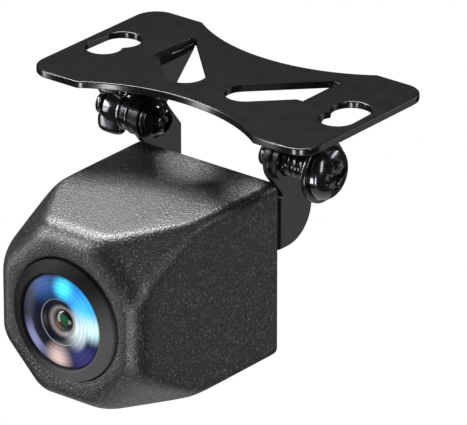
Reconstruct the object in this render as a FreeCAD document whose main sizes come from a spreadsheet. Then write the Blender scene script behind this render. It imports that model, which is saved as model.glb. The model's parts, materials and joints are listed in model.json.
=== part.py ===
import FreeCAD, Part
import math
import os
import re

import Sketcher

# A rear-view camera on its mounting bracket.  Millimetres, +Z up.  The origin is the
# centre of the mounting plate's top face; the lens looks along -Y.
#
# The bow-tie mounting plate has two bent-down ears.  A U-bracket stands between the ears
# and turns on two screws along X.  The camera's back is screwed to the U-bracket's web.

# Driving dimensions: alias, value in millimetres or degrees, meaning.
SIZES = (
    ("plate_length", 48.8, "mounting plate along X"),
    ("plate_width", 27.6, "mounting plate along Y"),
    ("plate_thickness", 1.0, "mounting plate sheet"),
    ("plate_corner", 3.5, "corner radius of the plate"),
    ("plate_end", 9.0, "straight part of each long edge, from the plate's end"),
    ("waist_depth", 4.8, "how far the long edges curve in at the middle"),
    ("lobe_far_inset", 4.3, "far lobe of a mounting hole, from the plate's end"),
    ("lobe_far_y", 1.8, "far lobe behind the middle"),
    ("lobe_far_radius", 2.8, "radius of the far lobe"),
    ("lobe_near_inset", 3.95, "near lobe of a mounting hole, from the plate's end"),
    ("lobe_near_y", -1.75, "near lobe in front of the middle"),
    ("lobe_near_radius", 2.55, "radius of the near lobe"),
    ("pivot_y", -2.85, "tilt axis along Y"),
    ("pivot_drop", 7.8, "tilt axis below the plate's top face"),
    ("ear_width", 5.8, "width of an ear across its slant"),
    ("ear_slant", 45.0, "slant of an ear from the vertical"),
    ("ear_gap", 0.05, "gap between an ear and the bracket arm inside it"),
    ("ear_bend", 0.5, "inner radius of the ear's bend"),
    ("slot_reach", 5.25, "centre of the slot's round end, from the middle"),
    ("bracket_width", 24.0, "U-bracket over its arms"),
    ("bracket_sheet", 1.0, "U-bracket sheet"),
    ("bracket_bend", 0.8, "inner radius of the U-bracket's bends"),
    ("web_top", 13.7, "top of the web below the plate's top face"),
    ("web_height", 7.6, "height of the web"),
    ("arm_depth", 8.4, "arms, from the web's front face to their back edge"),
    ("arm_corner", 5.2, "radius at the arms' lower back corner"),
    ("arm_eye", 6.6, "diameter of the arms' eyes"),
    ("neck_slant", 38.0, "slant of an arm's neck from the vertical"),
    ("pivot_hole", 4.4, "screw holes in the ears and the arms"),
    ("screw_major", 3.9, "pivot screws over the thread"),
    ("screw_root", 3.2, "pivot screws at the root of the thread"),
    ("thread_pitch", 1.1, "pitch of the pivot screws"),
    ("thread_flank", 0.3, "each flank of a thread groove, as a share of the pitch"),
    ("thread_root", 0.1, "flat root of a thread groove, as a share of the pitch"),
    ("washer_diameter", 9.0, "right washer"),
    ("washer_thickness", 0.8, "right washer"),
    ("left_washer", 6.0, "left washers"),
    ("left_washer_thickness", 0.6, "left washers"),
    ("lock_diameter", 5.4, "spring washer"),
    ("lock_thickness", 1.0, "spring washer"),
    ("lock_split", 0.5, "cut through the spring washer"),
    ("screw_head", 7.6, "right screw head"),
    ("left_head", 5.6, "left screw head"),
    ("head_height", 2.2, "pivot screw heads"),
    ("head_dome", 1.3, "rounding of the pivot screw heads"),
    ("cross_share", 0.55, "arms of the cross recess, as a share of the head"),
    ("cross_width", 0.9, "width of the cross recess"),
    ("cross_depth", 1.2, "depth of the cross recess"),
    ("stand_off", 5.4, "right washer out from its ear as left before tightening"),
    ("right_shank", 10.4, "right screw under its head"),
    ("left_shank", 9.6, "left screw under its head"),
    ("seat_gap", 0.02, "gap between faces that press when tightened"),
    ("hub_foot", 5.6, "wing nut hub at its foot"),
    ("hub_top", 5.0, "wing nut hub at its top"),
    ("wing_root", 0.2, "how far the wings reach into the hub's top"),
    ("hub_height", 3.4, "wing nut hub"),
    ("nut_bore", 4.1, "wing nut thread"),
    ("wing_start", 1.2, "wings above the hub's foot"),
    ("wing_length", 4.6, "wings along the axis"),
    ("wing_span", 8.4, "wings from tip to tip"),
    ("wing_corner", 1.7, "rounding of the wings' outer corners"),
    ("wing_thickness", 1.5, "wings"),
    ("camera_width", 25.2, "camera across its back"),
    ("camera_height", 26.0, "camera height at its back"),
    ("camera_depth", 30.2, "camera from back to front face"),
    ("camera_top", 10.8, "camera's top below the plate's top face"),
    ("camera_back", 4.7, "camera's back in front of the plate's middle"),
    ("box_depth", 17.5, "rear part of the camera, before its corner facets widen"),
    ("front_taper", 0.2, "each side of the camera in at its front"),
    ("back_cut", 0.9, "corner cut of the camera's back"),
    ("recess_cut", 1.2, "corner cut of the recess for the rear cover"),
    ("front_cut", 7.4, "corner cut of the camera's front"),
    ("housing_radius", 1.5, "rounding of the camera's ridges and front edges"),
    ("shell_wall", 2.0, "wall of the camera housing"),
    ("front_wall", 4.4, "front wall of the camera housing"),
    ("rim_wall", 1.2, "housing wall around the rear cover"),
    ("cover_thickness", 1.8, "rear cover"),
    ("cover_gap", 0.1, "gap around the rear cover"),
    ("gasket_thickness", 0.8, "rear gasket"),
    ("gasket_inset", 0.15, "gasket inside the rim"),
    ("gasket_ear", 1.5, "gasket around a cover screw, as a share of the screw's hole"),
    ("cover_screw_inset", 3.9, "cover screws in from the camera's sides"),
    ("cover_screw_hole", 1.7, "holes for the cover screws"),
    ("cover_screw_thread", 1.5, "cover screws"),
    ("cover_screw_length", 5.8, "cover screws under their heads"),
    ("small_head", 2.8, "heads of the small screws"),
    ("small_head_height", 0.8, "heads of the small screws"),
    ("small_cross_arms", 0.6, "cross in a small screw, as a share of its head"),
    ("small_cross_width", 0.1, "width of that cross, as a share of the head"),
    ("boss_width", 4.6, "corner bosses that hold the cover screws"),
    ("boss_cut", 1.6, "cut corners of those bosses"),
    ("blind_end", 0.8, "material left beyond a blind screw hole"),
    ("screw_clear", 0.01, "radial gap of the small screws in their threads"),
    ("head_clear", 0.1, "radial gap of a sunk screw head"),
    ("point_length", 0.3, "points of the small screws"),
    ("boss_depth", 5.0, "corner bosses"),
    ("web_screw_spacing", 10.0, "screws that hold the camera to the web"),
    ("web_screw_thread", 2.0, "web screws"),
    ("web_screw_hole", 2.2, "web screw holes"),
    ("web_screw_head", 4.0, "web screw heads"),
    ("web_screw_length", 4.4, "web screws under their heads"),
    ("web_boss", 4.6, "bosses for the web screws inside the cover"),
    ("web_boss_depth", 2.6, "bosses for the web screws"),
    ("inlet_rise", 7.0, "cable inlet above the camera's bottom"),
    ("inlet_flange", 8.6, "cable inlet flange"),
    ("inlet_flange_thickness", 1.4, "cable inlet flange"),
    ("inlet_outer", 6.4, "cable inlet at its root"),
    ("inlet_tip", 5.2, "cable inlet at its tip"),
    ("inlet_length", 6.0, "cable inlet behind its flange"),
    ("inlet_neck", 5.6, "hole in the rear cover for the cable inlet"),
    ("inlet_clear", 0.05, "radial gap of the cable inlet in that hole"),
    ("inlet_bore", 4.0, "cable inlet bore"),
    ("inlet_nut", 8.4, "inlet nut across its corners"),
    ("inlet_nut_thickness", 1.6, "inlet nut"),
    ("bezel_diameter", 17.5, "lens bezel"),
    ("bezel_rim", 0.5, "straight rim of the bezel in front of the housing"),
    ("bezel_rise", 0.8, "height of the bezel's cone"),
    ("bezel_depth", 2.2, "bezel sunk in the housing"),
    ("bezel_clear", 0.15, "gap around the bezel"),
    ("bezel_lip", 0.2, "flat lip of the bezel around the front lens"),
    ("glass_diameter", 13.5, "front lens"),
    ("glass_edge", 1.2, "front lens at its edge"),
    ("glass_crown", 1.0, "rise of the front lens in its middle"),
    ("barrel_diameter", 12.0, "lens barrel"),
    ("barrel_length", 12.5, "lens barrel behind the bezel"),
    ("barrel_wall", 1.4, "lens barrel"),
    ("barrel_clear", 0.1, "gap around the lens barrel"),
    ("seal_thickness", 0.6, "flat seal behind the bezel"),
    ("seal_inset", 0.3, "seal inside the edge of its seat"),
    ("ring_height", 1.8, "retaining ring at the barrel's end"),
    ("ring_wall", 0.8, "wall of the rings in the barrel"),
    ("lens_pitch", 3.4, "from one inner lens to the next"),
    ("lens_edge", 1.3, "inner lenses at their edges"),
    ("lens_crown", 0.7, "rise of the inner lenses"),
    ("lens_gap", 0.05, "radial gap around the inner lenses"),
    ("filter_side", 6.0, "infrared filter"),
    ("filter_thickness", 0.4, "infrared filter"),
    ("holder_outer", 14.6, "lens holder around the barrel"),
    ("holder_length", 6.0, "lens holder tube"),
    ("holder_foot_x", 17.0, "lens holder foot along X"),
    ("holder_foot_z", 12.4, "lens holder foot along Z"),
    ("holder_window", 8.0, "opening in the lens holder foot"),
    ("board_side", 18.0, "circuit boards"),
    ("board_thickness", 1.0, "circuit boards"),
    ("board_notch", 3.0, "corner notches of the circuit boards"),
    ("board_hole_x", 7.1, "board fixings from the lens axis along X"),
    ("board_hole_z", 4.5, "board fixings from the lens axis along Z"),
    ("sensor_space", 1.5, "from the infrared filter to the barrel's end"),
    ("board_gap", 5.0, "space between the two boards"),
    ("board_hole", 1.5, "holes in the boards"),
    ("spacer_diameter", 2.8, "board spacers"),
    ("board_screw_thread", 1.3, "board screws"),
    ("board_screw_head", 2.4, "board screw heads"),
    ("board_screw_length", 8.8, "board screws under their heads"),
    ("sensor_side", 7.0, "image sensor"),
    ("sensor_thickness", 0.9, "image sensor"),
    ("chip_side", 6.0, "video processor"),
    ("chip_thickness", 0.9, "video processor"),
    ("chip_up", 1.0, "video processor above the lens axis"),
    ("coil_diameter", 3.6, "power coil"),
    ("coil_height", 2.2, "power coil"),
    ("coil_side", 5.2, "power coil from the lens axis"),
    ("header_length", 7.0, "board-to-board header"),
    ("header_width", 2.4, "board-to-board header"),
    ("header_drop", 6.0, "header below the lens axis"),
    ("socket_length", 7.5, "cable socket on the main board"),
    ("socket_width", 3.4, "cable socket on the main board"),
    ("socket_height", 2.8, "cable socket on the main board"),
    ("socket_up", 0.5, "cable socket above the lens axis"),
)

# Places worked out from the driving dimensions.
DERIVED = {
    "half_length": "plate_length / 2",
    "half_width": "plate_width / 2",
    "lobe_far_x": "half_length - lobe_far_inset",
    "lobe_near_x": "half_length - lobe_near_inset",
    "waist_start": "half_length - plate_end",
    "waist_radius": "(waist_start ^ 2 + waist_depth ^ 2) / (2 * waist_depth)",
    "ear_inner": "bracket_width / 2 + ear_gap",
    "ear_outer": "ear_inner + plate_thickness",
    "ear_bend_outer": "ear_bend + plate_thickness",
    "ear_bend_x": "ear_outer + ear_bend",
    "ear_half_y": "ear_width / 2 / cos(ear_slant)",
    "ear_run": "(pivot_drop - ear_bend_outer / 2) * tan(ear_slant)",
    "ear_front_y": "pivot_y + ear_run - ear_half_y",
    "ear_back_y": "pivot_y + ear_run + ear_half_y",
    "ear_across": "ear_width / 2 * cos(ear_slant)",
    "ear_along": "ear_width / 2 * sin(ear_slant)",
    "slot_y": "pivot_y + ear_run - (ear_inner - slot_reach) * tan(ear_slant)",
    "arm_outer": "bracket_width / 2",
    "arm_inner": "arm_outer - bracket_sheet",
    "bracket_bend_outer": "bracket_bend + bracket_sheet",
    "web_front": "0 - camera_back",
    "web_back": "bracket_sheet - camera_back",
    "bend_start": "bracket_bend_outer - camera_back",
    "arm_back": "arm_depth - camera_back",
    "web_bottom": "web_top + web_height",
    "eye_radius": "arm_eye / 2",
    "neck_across": "eye_radius * cos(neck_slant)",
    "neck_along": "eye_radius * sin(neck_slant)",
    "neck_front_run": "bend_start - (pivot_y - neck_across)",
    "neck_back_run": "arm_back - (pivot_y + neck_across)",
    "neck_front_z": "0 - pivot_drop - neck_along - neck_front_run / tan(neck_slant)",
    "neck_back_z": "neck_along - pivot_drop - neck_back_run / tan(neck_slant)",
    "back_half": "camera_width / 2",
    "back_half_z": "camera_height / 2",
    "camera_drop": "camera_top + back_half_z",
    "inlet_drop": "back_half_z - inlet_rise",
    "octagon_trim": "(2 - sqrt(2))",
    "cover_half": "back_half - rim_wall - cover_gap",
    "cover_half_z": "back_half_z - rim_wall - cover_gap",
    "ledge_depth": "cover_thickness + gasket_thickness",
    "screw_x": "back_half - cover_screw_inset",
    "screw_z": "back_half_z - cover_screw_inset",
    "right_seat": "ear_outer + stand_off",
    "left_seat": "arm_inner - left_washer_thickness - seat_gap",
    "nut_seat": "ear_outer + left_washer_thickness + lock_thickness + 3 * seat_gap",
    "bezel_seat": "camera_depth - bezel_depth",
    "web_screw_drop": "camera_drop - web_top - web_height / 2",
    "sensor_face": "bezel_seat - barrel_length - filter_thickness - sensor_space",
    "board_front": "sensor_face - sensor_thickness",
    "board_back": "board_front - board_thickness",
    "main_front": "board_back - board_gap",
    "main_back": "main_front - board_thickness",
    "holder_rise": "bezel_seat - barrel_length - board_front",
}

doc = FreeCAD.newDocument("backup_camera")
sheet = doc.addObject("Spreadsheet::Sheet", "Sizes")
for row, (alias, number, meaning) in enumerate(SIZES, start=1):
    sheet.set("A%d" % row, meaning)
    sheet.set("B%d" % row, str(number))
    sheet.setAlias("B%d" % row, alias)
doc.recompute()

ALIASES = {alias for alias, _, _ in SIZES}


def tie(formula):
    """Write a formula of named sizes as an expression on the sheet's cells."""
    def swap(match):
        word = match.group()
        if word in DERIVED:
            return "(" + tie(DERIVED[word]) + ")"
        return "Sizes." + word if word in ALIASES else word
    return re.sub(r"[a-z_]\w*", swap, str(formula))


def value(formula):
    """The number that a formula of named sizes gives."""
    return float(sheet.evalExpression(tie(formula)))


def bind(item, prop, formula):
    item.setExpression(prop, tie(formula))


# ---------------------------------------------------------------- sketches and features

def new_body(label, x="0", y="0", z="0", turn=None):
    """A body named label, its origin at (x, y, z), turned by turn = (axis, degrees)."""
    body = doc.addObject("PartDesign::Body", label)
    body.Label = label
    if turn:
        body.Placement.Rotation = FreeCAD.Rotation(FreeCAD.Vector(*turn[0]), turn[1])
    for axis, formula in zip("xyz", (x, y, z)):
        bind(body, "Placement.Base." + axis, formula)
    return body


def new_sketch(body, plane, height="0"):
    """An empty sketch on one of the body's origin planes, moved along its normal."""
    sketch = body.newObject("Sketcher::SketchObject", body.Label + "_sketch")
    origin_plane = [item for item in body.Origin.OriginFeatures if item.Role == plane][0]
    sketch.AttachmentSupport = [(origin_plane, "")]
    sketch.MapMode = "FlatFace"
    bind(sketch, "AttachmentOffset.Base.z", height)
    return sketch


def fix(sketch, constraint, formula):
    """Add a constraint and bind its size to the sheet."""
    index = sketch.addConstraint(constraint)
    bind(sketch, "Constraints[%d]" % index, formula)


def arc_middle(start, end, radius, side):
    """Centre of the arc from start to end; side +1 keeps it left of the way there."""
    half = (end - start) * 0.5
    rise = math.sqrt(max(radius ** 2 - half.Length ** 2, 0.0))
    left = FreeCAD.Vector(-half.y, half.x, 0).normalize()
    return start + half + left * rise * side


def outline(sketch, corners):
    """A closed outline.  A corner is (x, y), or (x, y, radius, side) where an arc of
    that radius leads on to the next corner: its centre is to the left (+1, the arc
    turns left) or to the right (-1)."""
    points = [FreeCAD.Vector(value(c[0]), value(c[1]), 0) for c in corners]
    first = sketch.GeometryCount
    starts = []
    for index, corner in enumerate(corners):
        start, end = points[index], points[(index + 1) % len(points)]
        if len(corner) == 2:
            sketch.addGeometry(Part.LineSegment(start, end), False)
            starts.append((1, 2))
            continue
        radius, side = value(corner[2]), corner[3]
        middle = arc_middle(start, end, radius, side)
        circle = Part.Circle(middle, FreeCAD.Vector(0, 0, 1), radius)
        begin, stop = (start, end) if side > 0 else (end, start)
        angles = [math.atan2(p.y - middle.y, p.x - middle.x) for p in (begin, stop)]
        sketch.addGeometry(Part.ArcOfCircle(circle, angles[0], angles[1]), False)
        starts.append((1, 2) if side > 0 else (2, 1))
    for index, corner in enumerate(corners):
        here, after = first + index, first + (index + 1) % len(corners)
        sketch.addConstraint(Sketcher.Constraint(
            "Coincident", here, starts[index][1],
            after, starts[(index + 1) % len(corners)][0]))
    for index, corner in enumerate(corners):
        here, end = first + index, starts[index][0]
        fix(sketch, Sketcher.Constraint("DistanceX", -1, 1, here, end, points[index].x),
            corner[0])
        fix(sketch, Sketcher.Constraint("DistanceY", -1, 1, here, end, points[index].y),
            corner[1])
        if len(corner) == 4:
            fix(sketch, Sketcher.Constraint("Radius", here, value(corner[2])), corner[2])


def circle(sketch, x, y, diameter):
    """A circle of the given diameter at (x, y)."""
    centre = FreeCAD.Vector(value(x), value(y), 0)
    radius = value(diameter) / 2
    here = sketch.addGeometry(
        Part.Circle(centre, FreeCAD.Vector(0, 0, 1), radius), False)
    fix(sketch, Sketcher.Constraint("DistanceX", -1, 1, here, 3, centre.x), x)
    fix(sketch, Sketcher.Constraint("DistanceY", -1, 1, here, 3, centre.y), y)
    fix(sketch, Sketcher.Constraint("Diameter", here, 2 * radius), diameter)


def block(sketch, x, y, width, height, chamfer=None):
    """A rectangle centred on (x, y), its corners cut off by chamfer where one is given."""
    w, h = "(%s) / 2" % width, "(%s) / 2" % height
    if chamfer is None:
        corners = [(-1, -1, 0, 0), (1, -1, 0, 0), (1, 1, 0, 0), (-1, 1, 0, 0)]
    else:
        corners = [(-1, -1, 1, 0), (1, -1, -1, 0), (1, -1, 0, 1), (1, 1, 0, -1),
                   (1, 1, -1, 0), (-1, 1, 1, 0), (-1, 1, 0, -1), (-1, -1, 0, 1)]
    cut = "(%s)" % (chamfer or "0")
    outline(sketch, [("%s + (%d) * %s + (%d) * %s" % (x, sx, w, cx, cut),
                      "%s + (%d) * %s + (%d) * %s" % (y, sy, h, cy, cut))
                     for sx, sy, cx, cy in corners])


def corners_at(x, z):
    """The four places (+-x, +-z)."""
    return [("%s1 * %s" % (side, x), "%s1 * %s" % (level, z))
            for side in ("", "-") for level in ("", "-")]


def finish(body, feature, grows):
    """Recompute and make sure that the feature added or removed material."""
    doc.recompute()
    base = feature.BaseFeature
    before = base.Shape.Volume if base else 0.0
    change = feature.Shape.Volume - before
    if change * (1 if grows else -1) <= 0:
        raise RuntimeError("%s in %s changed nothing" % (feature.Name, body.Label))
    return feature


def pad(body, sketch, length, reverse=False):
    """Extrude the sketch along its normal, or against it where reverse is set."""
    feature = body.newObject("PartDesign::Pad", body.Label + "_pad")
    feature.Profile = sketch
    bind(feature, "Length", length)
    feature.Reversed = reverse
    return finish(body, feature, True)


def pocket(body, sketch, length, reverse=False):
    """Cut the sketch against its normal, or along it where reverse is set."""
    feature = body.newObject("PartDesign::Pocket", body.Label + "_pocket")
    feature.Profile = sketch
    bind(feature, "Length", length)
    feature.Reversed = reverse
    return finish(body, feature, False)


def loft(body, kind, low, high):
    """A ruled loft from one sketch to the other, adding or removing material."""
    feature = body.newObject(kind, body.Label + "_loft")
    feature.Profile = low
    feature.Sections = [high]
    feature.Ruled = True
    return finish(body, feature, kind == "PartDesign::AdditiveLoft")


def turned(label, corners, **place):
    """A body turned about its own Z from an outline of (radius, height) corners."""
    body = new_body(label, **place)
    sketch = new_sketch(body, "XZ_Plane")
    outline(sketch, corners)
    feature = body.newObject("PartDesign::Revolution", label + "_turn")
    feature.Profile = sketch
    feature.ReferenceAxis = (sketch, ["V_Axis"])
    feature.Angle = 360
    finish(body, feature, True)
    return body


def mirrored(body, features, plane="YZ_Plane"):
    """Repeat features on the other side of one of the body's origin planes."""
    feature = body.newObject("PartDesign::Mirrored", body.Label + "_mirror")
    feature.Originals = features
    origin_plane = [item for item in body.Origin.OriginFeatures if item.Role == plane][0]
    feature.MirrorPlane = (origin_plane, [""])
    body.Tip = feature
    doc.recompute()
    return feature


def rounded(body, edges, radius):
    """Fillet the named edges of the body's last feature."""
    base = body.Tip
    feature = body.newObject("PartDesign::Fillet", body.Label + "_fillet")
    feature.Base = (base, edges)
    bind(feature, "Radius", radius)
    doc.recompute()
    return feature


def edges_where(shape, test):
    """Names of the shape's edges that pass the test."""
    return ["Edge%d" % number for number, edge in enumerate(shape.Edges, start=1)
            if test(edge)]


def copies(label, solid, places):
    """One node of several equal solids: the body's shape at each place."""
    group = doc.addObject("Part::Compound", label)
    group.Label = label
    links = []
    for number, (x, y, z) in enumerate(places, start=1):
        link = doc.addObject("App::Link", "%s_%d" % (label, number))
        link.LinkedObject = solid
        link.LinkTransform = False
        link.Placement.Rotation = solid.Placement.Rotation
        for axis, formula in zip("xyz", (x, y, z)):
            bind(link, "Placement.Base." + axis, formula)
        links.append(link)
    group.Links = links
    doc.recompute()
    return group


NODES = []


def node(item):
    """Mark a finished object as a sub-part that is written out under its Label."""
    NODES.append(item)
    return item


# ---------------------------------------------------------------- mounting plate

def make_mounting_plate():
    body = new_body("mounting_plate")
    sketch = new_sketch(body, "XY_Plane")
    x, y, r = "half_length", "half_width", "plate_corner"
    outline(sketch, [
        ("-(%s)" % x, "%s - %s" % (r, y), r, 1), ("%s - %s" % (r, x), "-(%s)" % y),
        ("-(waist_start)", "-(%s)" % y, "waist_radius", -1), ("waist_start", "-(%s)" % y),
        ("%s - %s" % (x, r), "-(%s)" % y, r, 1), (x, "%s - %s" % (r, y)),
        (x, "%s - %s" % (y, r), r, 1), ("%s - %s" % (x, r), y),
        ("waist_start", y, "waist_radius", -1), ("-(waist_start)", y),
        ("%s - %s" % (r, x), y, r, 1), ("-(%s)" % x, "%s - %s" % (y, r))])
    pad(body, sketch, "plate_thickness", reverse=True)

    cuts = []
    for lobe in ("far", "near"):
        sketch = new_sketch(body, "XY_Plane")
        circle(sketch, "lobe_%s_x" % lobe, "lobe_%s_y" % lobe, "2 * lobe_%s_radius" % lobe)
        cuts.append(pocket(body, sketch, "plate_thickness"))
    sketch = new_sketch(body, "XY_Plane")
    outline(sketch, [
        ("lobe_far_x", "lobe_far_y"), ("lobe_near_x", "lobe_near_y"),
        ("lobe_near_x + lobe_near_radius", "lobe_near_y"),
        ("lobe_far_x + lobe_far_radius", "lobe_far_y")])
    cuts.append(pocket(body, sketch, "plate_thickness"))

    # The slot is the flat blank of the ear: from the bend it runs inwards at the ear's
    # slant to a round end.
    sketch = new_sketch(body, "XY_Plane")
    half = "ear_width / 2"
    outline(sketch, [
        ("ear_bend_x", "ear_front_y"), ("ear_bend_x", "ear_back_y"),
        ("ear_inner", "ear_back_y"),
        ("slot_reach - ear_along", "slot_y + ear_across", half, 1),
        ("slot_reach - ear_across", "slot_y - ear_along", half, 1),
        ("slot_reach + ear_along", "slot_y - ear_across"), ("ear_inner", "ear_front_y")])
    cuts.append(pocket(body, sketch, "plate_thickness"))

    # The ear: a slanted strip with a round eye, as wide along X as its bend needs.
    width = "ear_bend_x - ear_inner"
    sketch = new_sketch(body, "YZ_Plane", "ear_inner")
    outline(sketch, [
        ("pivot_y + ear_across", "0 - pivot_drop - ear_along"),
        ("ear_back_y", "0 - ear_bend_outer / 2"), ("ear_back_y", "0"),
        ("ear_front_y", "0"), ("ear_front_y", "0 - ear_bend_outer / 2"),
        ("pivot_y - ear_across", "ear_along - pivot_drop", half, 1),
        ("pivot_y - ear_along", "0 - pivot_drop - ear_across", half, 1)])
    strip = pad(body, sketch, width)

    sketch = new_sketch(body, "XZ_Plane", "0 - ear_back_y")
    outline(sketch, [
        ("ear_inner", "0"), ("ear_inner", "0 - ear_bend_outer", "ear_bend_outer", -1),
        ("ear_bend_x", "0")])
    shoulder = pocket(body, sketch, "ear_back_y - ear_front_y", reverse=True)

    low = "0 - pivot_drop - ear_width"
    sketch = new_sketch(body, "XZ_Plane", "0 - ear_back_y")
    outline(sketch, [
        ("ear_outer", low), ("ear_bend_x", low),
        ("ear_bend_x", "0 - plate_thickness", "ear_bend", 1),
        ("ear_outer", "0 - ear_bend_outer")])
    armpit = pocket(body, sketch, "ear_back_y - pivot_y + ear_width", reverse=True)

    sketch = new_sketch(body, "YZ_Plane", "ear_inner")
    circle(sketch, "pivot_y", "0 - pivot_drop", "pivot_hole")
    eye = pocket(body, sketch, width, reverse=True)
    mirrored(body, cuts + [strip, shoulder, armpit, eye])
    node(body)


# ---------------------------------------------------------------- U-bracket

def make_u_bracket():
    body = new_body("u_bracket")
    sketch = new_sketch(body, "XY_Plane", "0 - web_bottom")
    outer, inner = "arm_outer", "arm_inner"
    curve = "bracket_bend_outer"
    outline(sketch, [
        ("%s - %s" % (curve, outer), "web_front"),
        ("%s - %s" % (outer, curve), "web_front", curve, 1),
        (outer, "bend_start"), (outer, "arm_back"), (inner, "arm_back"),
        (inner, "bend_start", "bracket_bend", -1), ("%s - bracket_bend" % inner, "web_back"),
        ("bracket_bend - %s" % inner, "web_back", "bracket_bend", -1),
        ("-(%s)" % inner, "bend_start"), ("-(%s)" % inner, "arm_back"),
        ("-(%s)" % outer, "arm_back"), ("-(%s)" % outer, "bend_start", curve, 1)])
    pad(body, sketch, "web_height")

    sketch = new_sketch(body, "YZ_Plane", inner)
    outline(sketch, [
        ("pivot_y - neck_across", "0 - pivot_drop - neck_along", "eye_radius", -1),
        ("pivot_y - neck_along", "neck_across - pivot_drop", "eye_radius", -1),
        ("pivot_y + neck_across", "neck_along - pivot_drop"),
        ("arm_back", "neck_back_z"), ("arm_back", "0 - web_top"),
        ("bend_start", "0 - web_top"), ("bend_start", "neck_front_z")])
    neck = pad(body, sketch, "bracket_sheet")

    sketch = new_sketch(body, "YZ_Plane", inner)
    outline(sketch, [
        ("arm_back - arm_corner", "0 - web_bottom", "arm_corner", 1),
        ("arm_back", "arm_corner - web_bottom"), ("arm_back", "0 - web_bottom")])
    corner = pocket(body, sketch, "bracket_sheet", reverse=True)

    sketch = new_sketch(body, "YZ_Plane", inner)
    circle(sketch, "pivot_y", "0 - pivot_drop", "pivot_hole")
    eye = pocket(body, sketch, "bracket_sheet", reverse=True)

    sketch = new_sketch(body, "XZ_Plane", "camera_back")
    circle(sketch, "web_screw_spacing / 2", "0 - web_top - web_height / 2", "web_screw_hole")
    hole = pocket(body, sketch, "bracket_sheet")
    mirrored(body, [neck, corner, eye, hole])
    node(body)


# ---------------------------------------------------------------- pivot screws

def make_screw(label, shank, head, **place):
    """A pan-head screw along its own Z, the underside of its head at the origin and its
    shank below.  The thread is cut as grooves one pitch apart."""
    major, root, dome = "screw_major / 2", "screw_root / 2", "head_dome"
    rim = "%s / 2" % head
    body = turned(label, [
        ("0", "-(%s)" % shank), (root, "-(%s)" % shank),
        (major, "thread_pitch / 2 - (%s)" % shank), (major, "0"), (rim, "0"),
        (rim, "head_height - %s" % dome, dome, 1),
        ("%s - %s" % (rim, dome), "head_height"), ("0", "head_height")], **place)

    sketch = new_sketch(body, "XZ_Plane")
    low = "thread_pitch - (%s)" % shank
    outline(sketch, [
        (major, low), (root, "%s + thread_pitch * thread_flank" % low),
        (root, "%s + thread_pitch * (thread_flank + thread_root)" % low),
        (major, "%s + thread_pitch * (2 * thread_flank + thread_root)" % low)])
    groove = body.newObject("PartDesign::Groove", label + "_groove")
    groove.Profile = sketch
    groove.ReferenceAxis = (sketch, ["V_Axis"])
    groove.Angle = 360
    finish(body, groove, False)
    turns = "floor((%s) / thread_pitch) - 2" % shank
    pattern = body.newObject("PartDesign::LinearPattern", label + "_thread")
    pattern.Originals = [groove]
    axis = [item for item in body.Origin.OriginFeatures if item.Role == "Z_Axis"][0]
    pattern.Direction = (axis, [""])
    bind(pattern, "Length", "thread_pitch * (%s)" % turns)
    bind(pattern, "Occurrences", "%s + 1" % turns)
    body.Tip = pattern
    doc.recompute()

    arm = "%s * cross_share" % head
    for width, height in ((arm, "cross_width"), ("cross_width", arm)):
        sketch = new_sketch(body, "XY_Plane", "head_height")
        block(sketch, "0", "0", width, height)
        pocket(body, sketch, "cross_depth")
    return node(body)


def make_washer(label, outer, thickness, **place):
    """A flat ring along its own Z, its foot at the origin."""
    bore = "pivot_hole / 2"
    return node(turned(label, [
        (bore, "0"), ("%s / 2" % outer, "0"), ("%s / 2" % outer, thickness),
        (bore, thickness)], **place))


def make_wing_nut():
    """A wing nut along its own Z, its foot at the origin, the wings up and down."""
    body = turned("wing_nut", [
        ("nut_bore / 2", "0"), ("hub_foot / 2", "0"), ("hub_top / 2", "hub_height"),
        ("nut_bore / 2", "hub_height")],
        x="0 - nut_seat", y="pivot_y", z="0 - pivot_drop", turn=((0, 1, 0), -90))
    top, tip = "wing_start + wing_length", "wing_span / 2"
    curve, root = "wing_corner", "hub_top / 2 - wing_root"
    sketch = new_sketch(body, "XZ_Plane", "0 - wing_thickness / 2")
    outline(sketch, [
        (root, "wing_start"), ("%s - %s" % (tip, curve), "wing_start", curve, 1),
        (tip, "wing_start + %s" % curve), (tip, "%s - %s" % (top, curve), curve, 1),
        ("%s - %s" % (tip, curve), top), (root, "hub_height")])
    wing = pad(body, sketch, "wing_thickness")
    mirrored(body, [wing])
    node(body)


def make_pivots():
    """The tilt axis: the right screw stands out as supplied, the left one is clamped by
    its wing nut."""
    at_pivot = {"y": "pivot_y", "z": "0 - pivot_drop"}
    outwards, inwards = ((0, 1, 0), 90), ((0, 1, 0), -90)
    make_washer("right_washer", "washer_diameter", "washer_thickness",
                x="right_seat", turn=outwards, **at_pivot)
    make_screw("right_screw", "right_shank", "screw_head",
               x="right_seat + washer_thickness + seat_gap", turn=outwards, **at_pivot)
    make_washer("left_inner_washer", "left_washer", "left_washer_thickness",
                x="0 - arm_inner + seat_gap", turn=outwards, **at_pivot)
    make_screw("left_screw", "left_shank", "left_head",
               x="0 - left_seat + seat_gap", turn=outwards, **at_pivot)
    make_washer("left_outer_washer", "left_washer", "left_washer_thickness",
                x="0 - ear_outer - seat_gap", turn=inwards, **at_pivot)
    lock = make_washer("left_spring_washer", "lock_diameter", "lock_thickness",
                       x="0 - ear_outer - left_washer_thickness - 2 * seat_gap", turn=inwards,
                       **at_pivot)
    sketch = new_sketch(lock, "XY_Plane")
    block(sketch, "0", "lock_diameter / 2", "lock_split", "lock_diameter")
    pocket(lock, sketch, "lock_thickness", reverse=True)
    make_wing_nut()


# ---------------------------------------------------------------- camera housing

AT_BACK = {"y": "0 - camera_back", "z": "0 - camera_drop"}
FORWARD = ((1, 0, 0), 90)


def front_along(depth):
    """Place of a turned piece on the lens axis, its foot that far from the camera's back
    and its own Z pointing forwards."""
    return {"y": "0 - camera_back - (%s)" % depth, "z": "0 - camera_drop", "turn": FORWARD}


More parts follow.
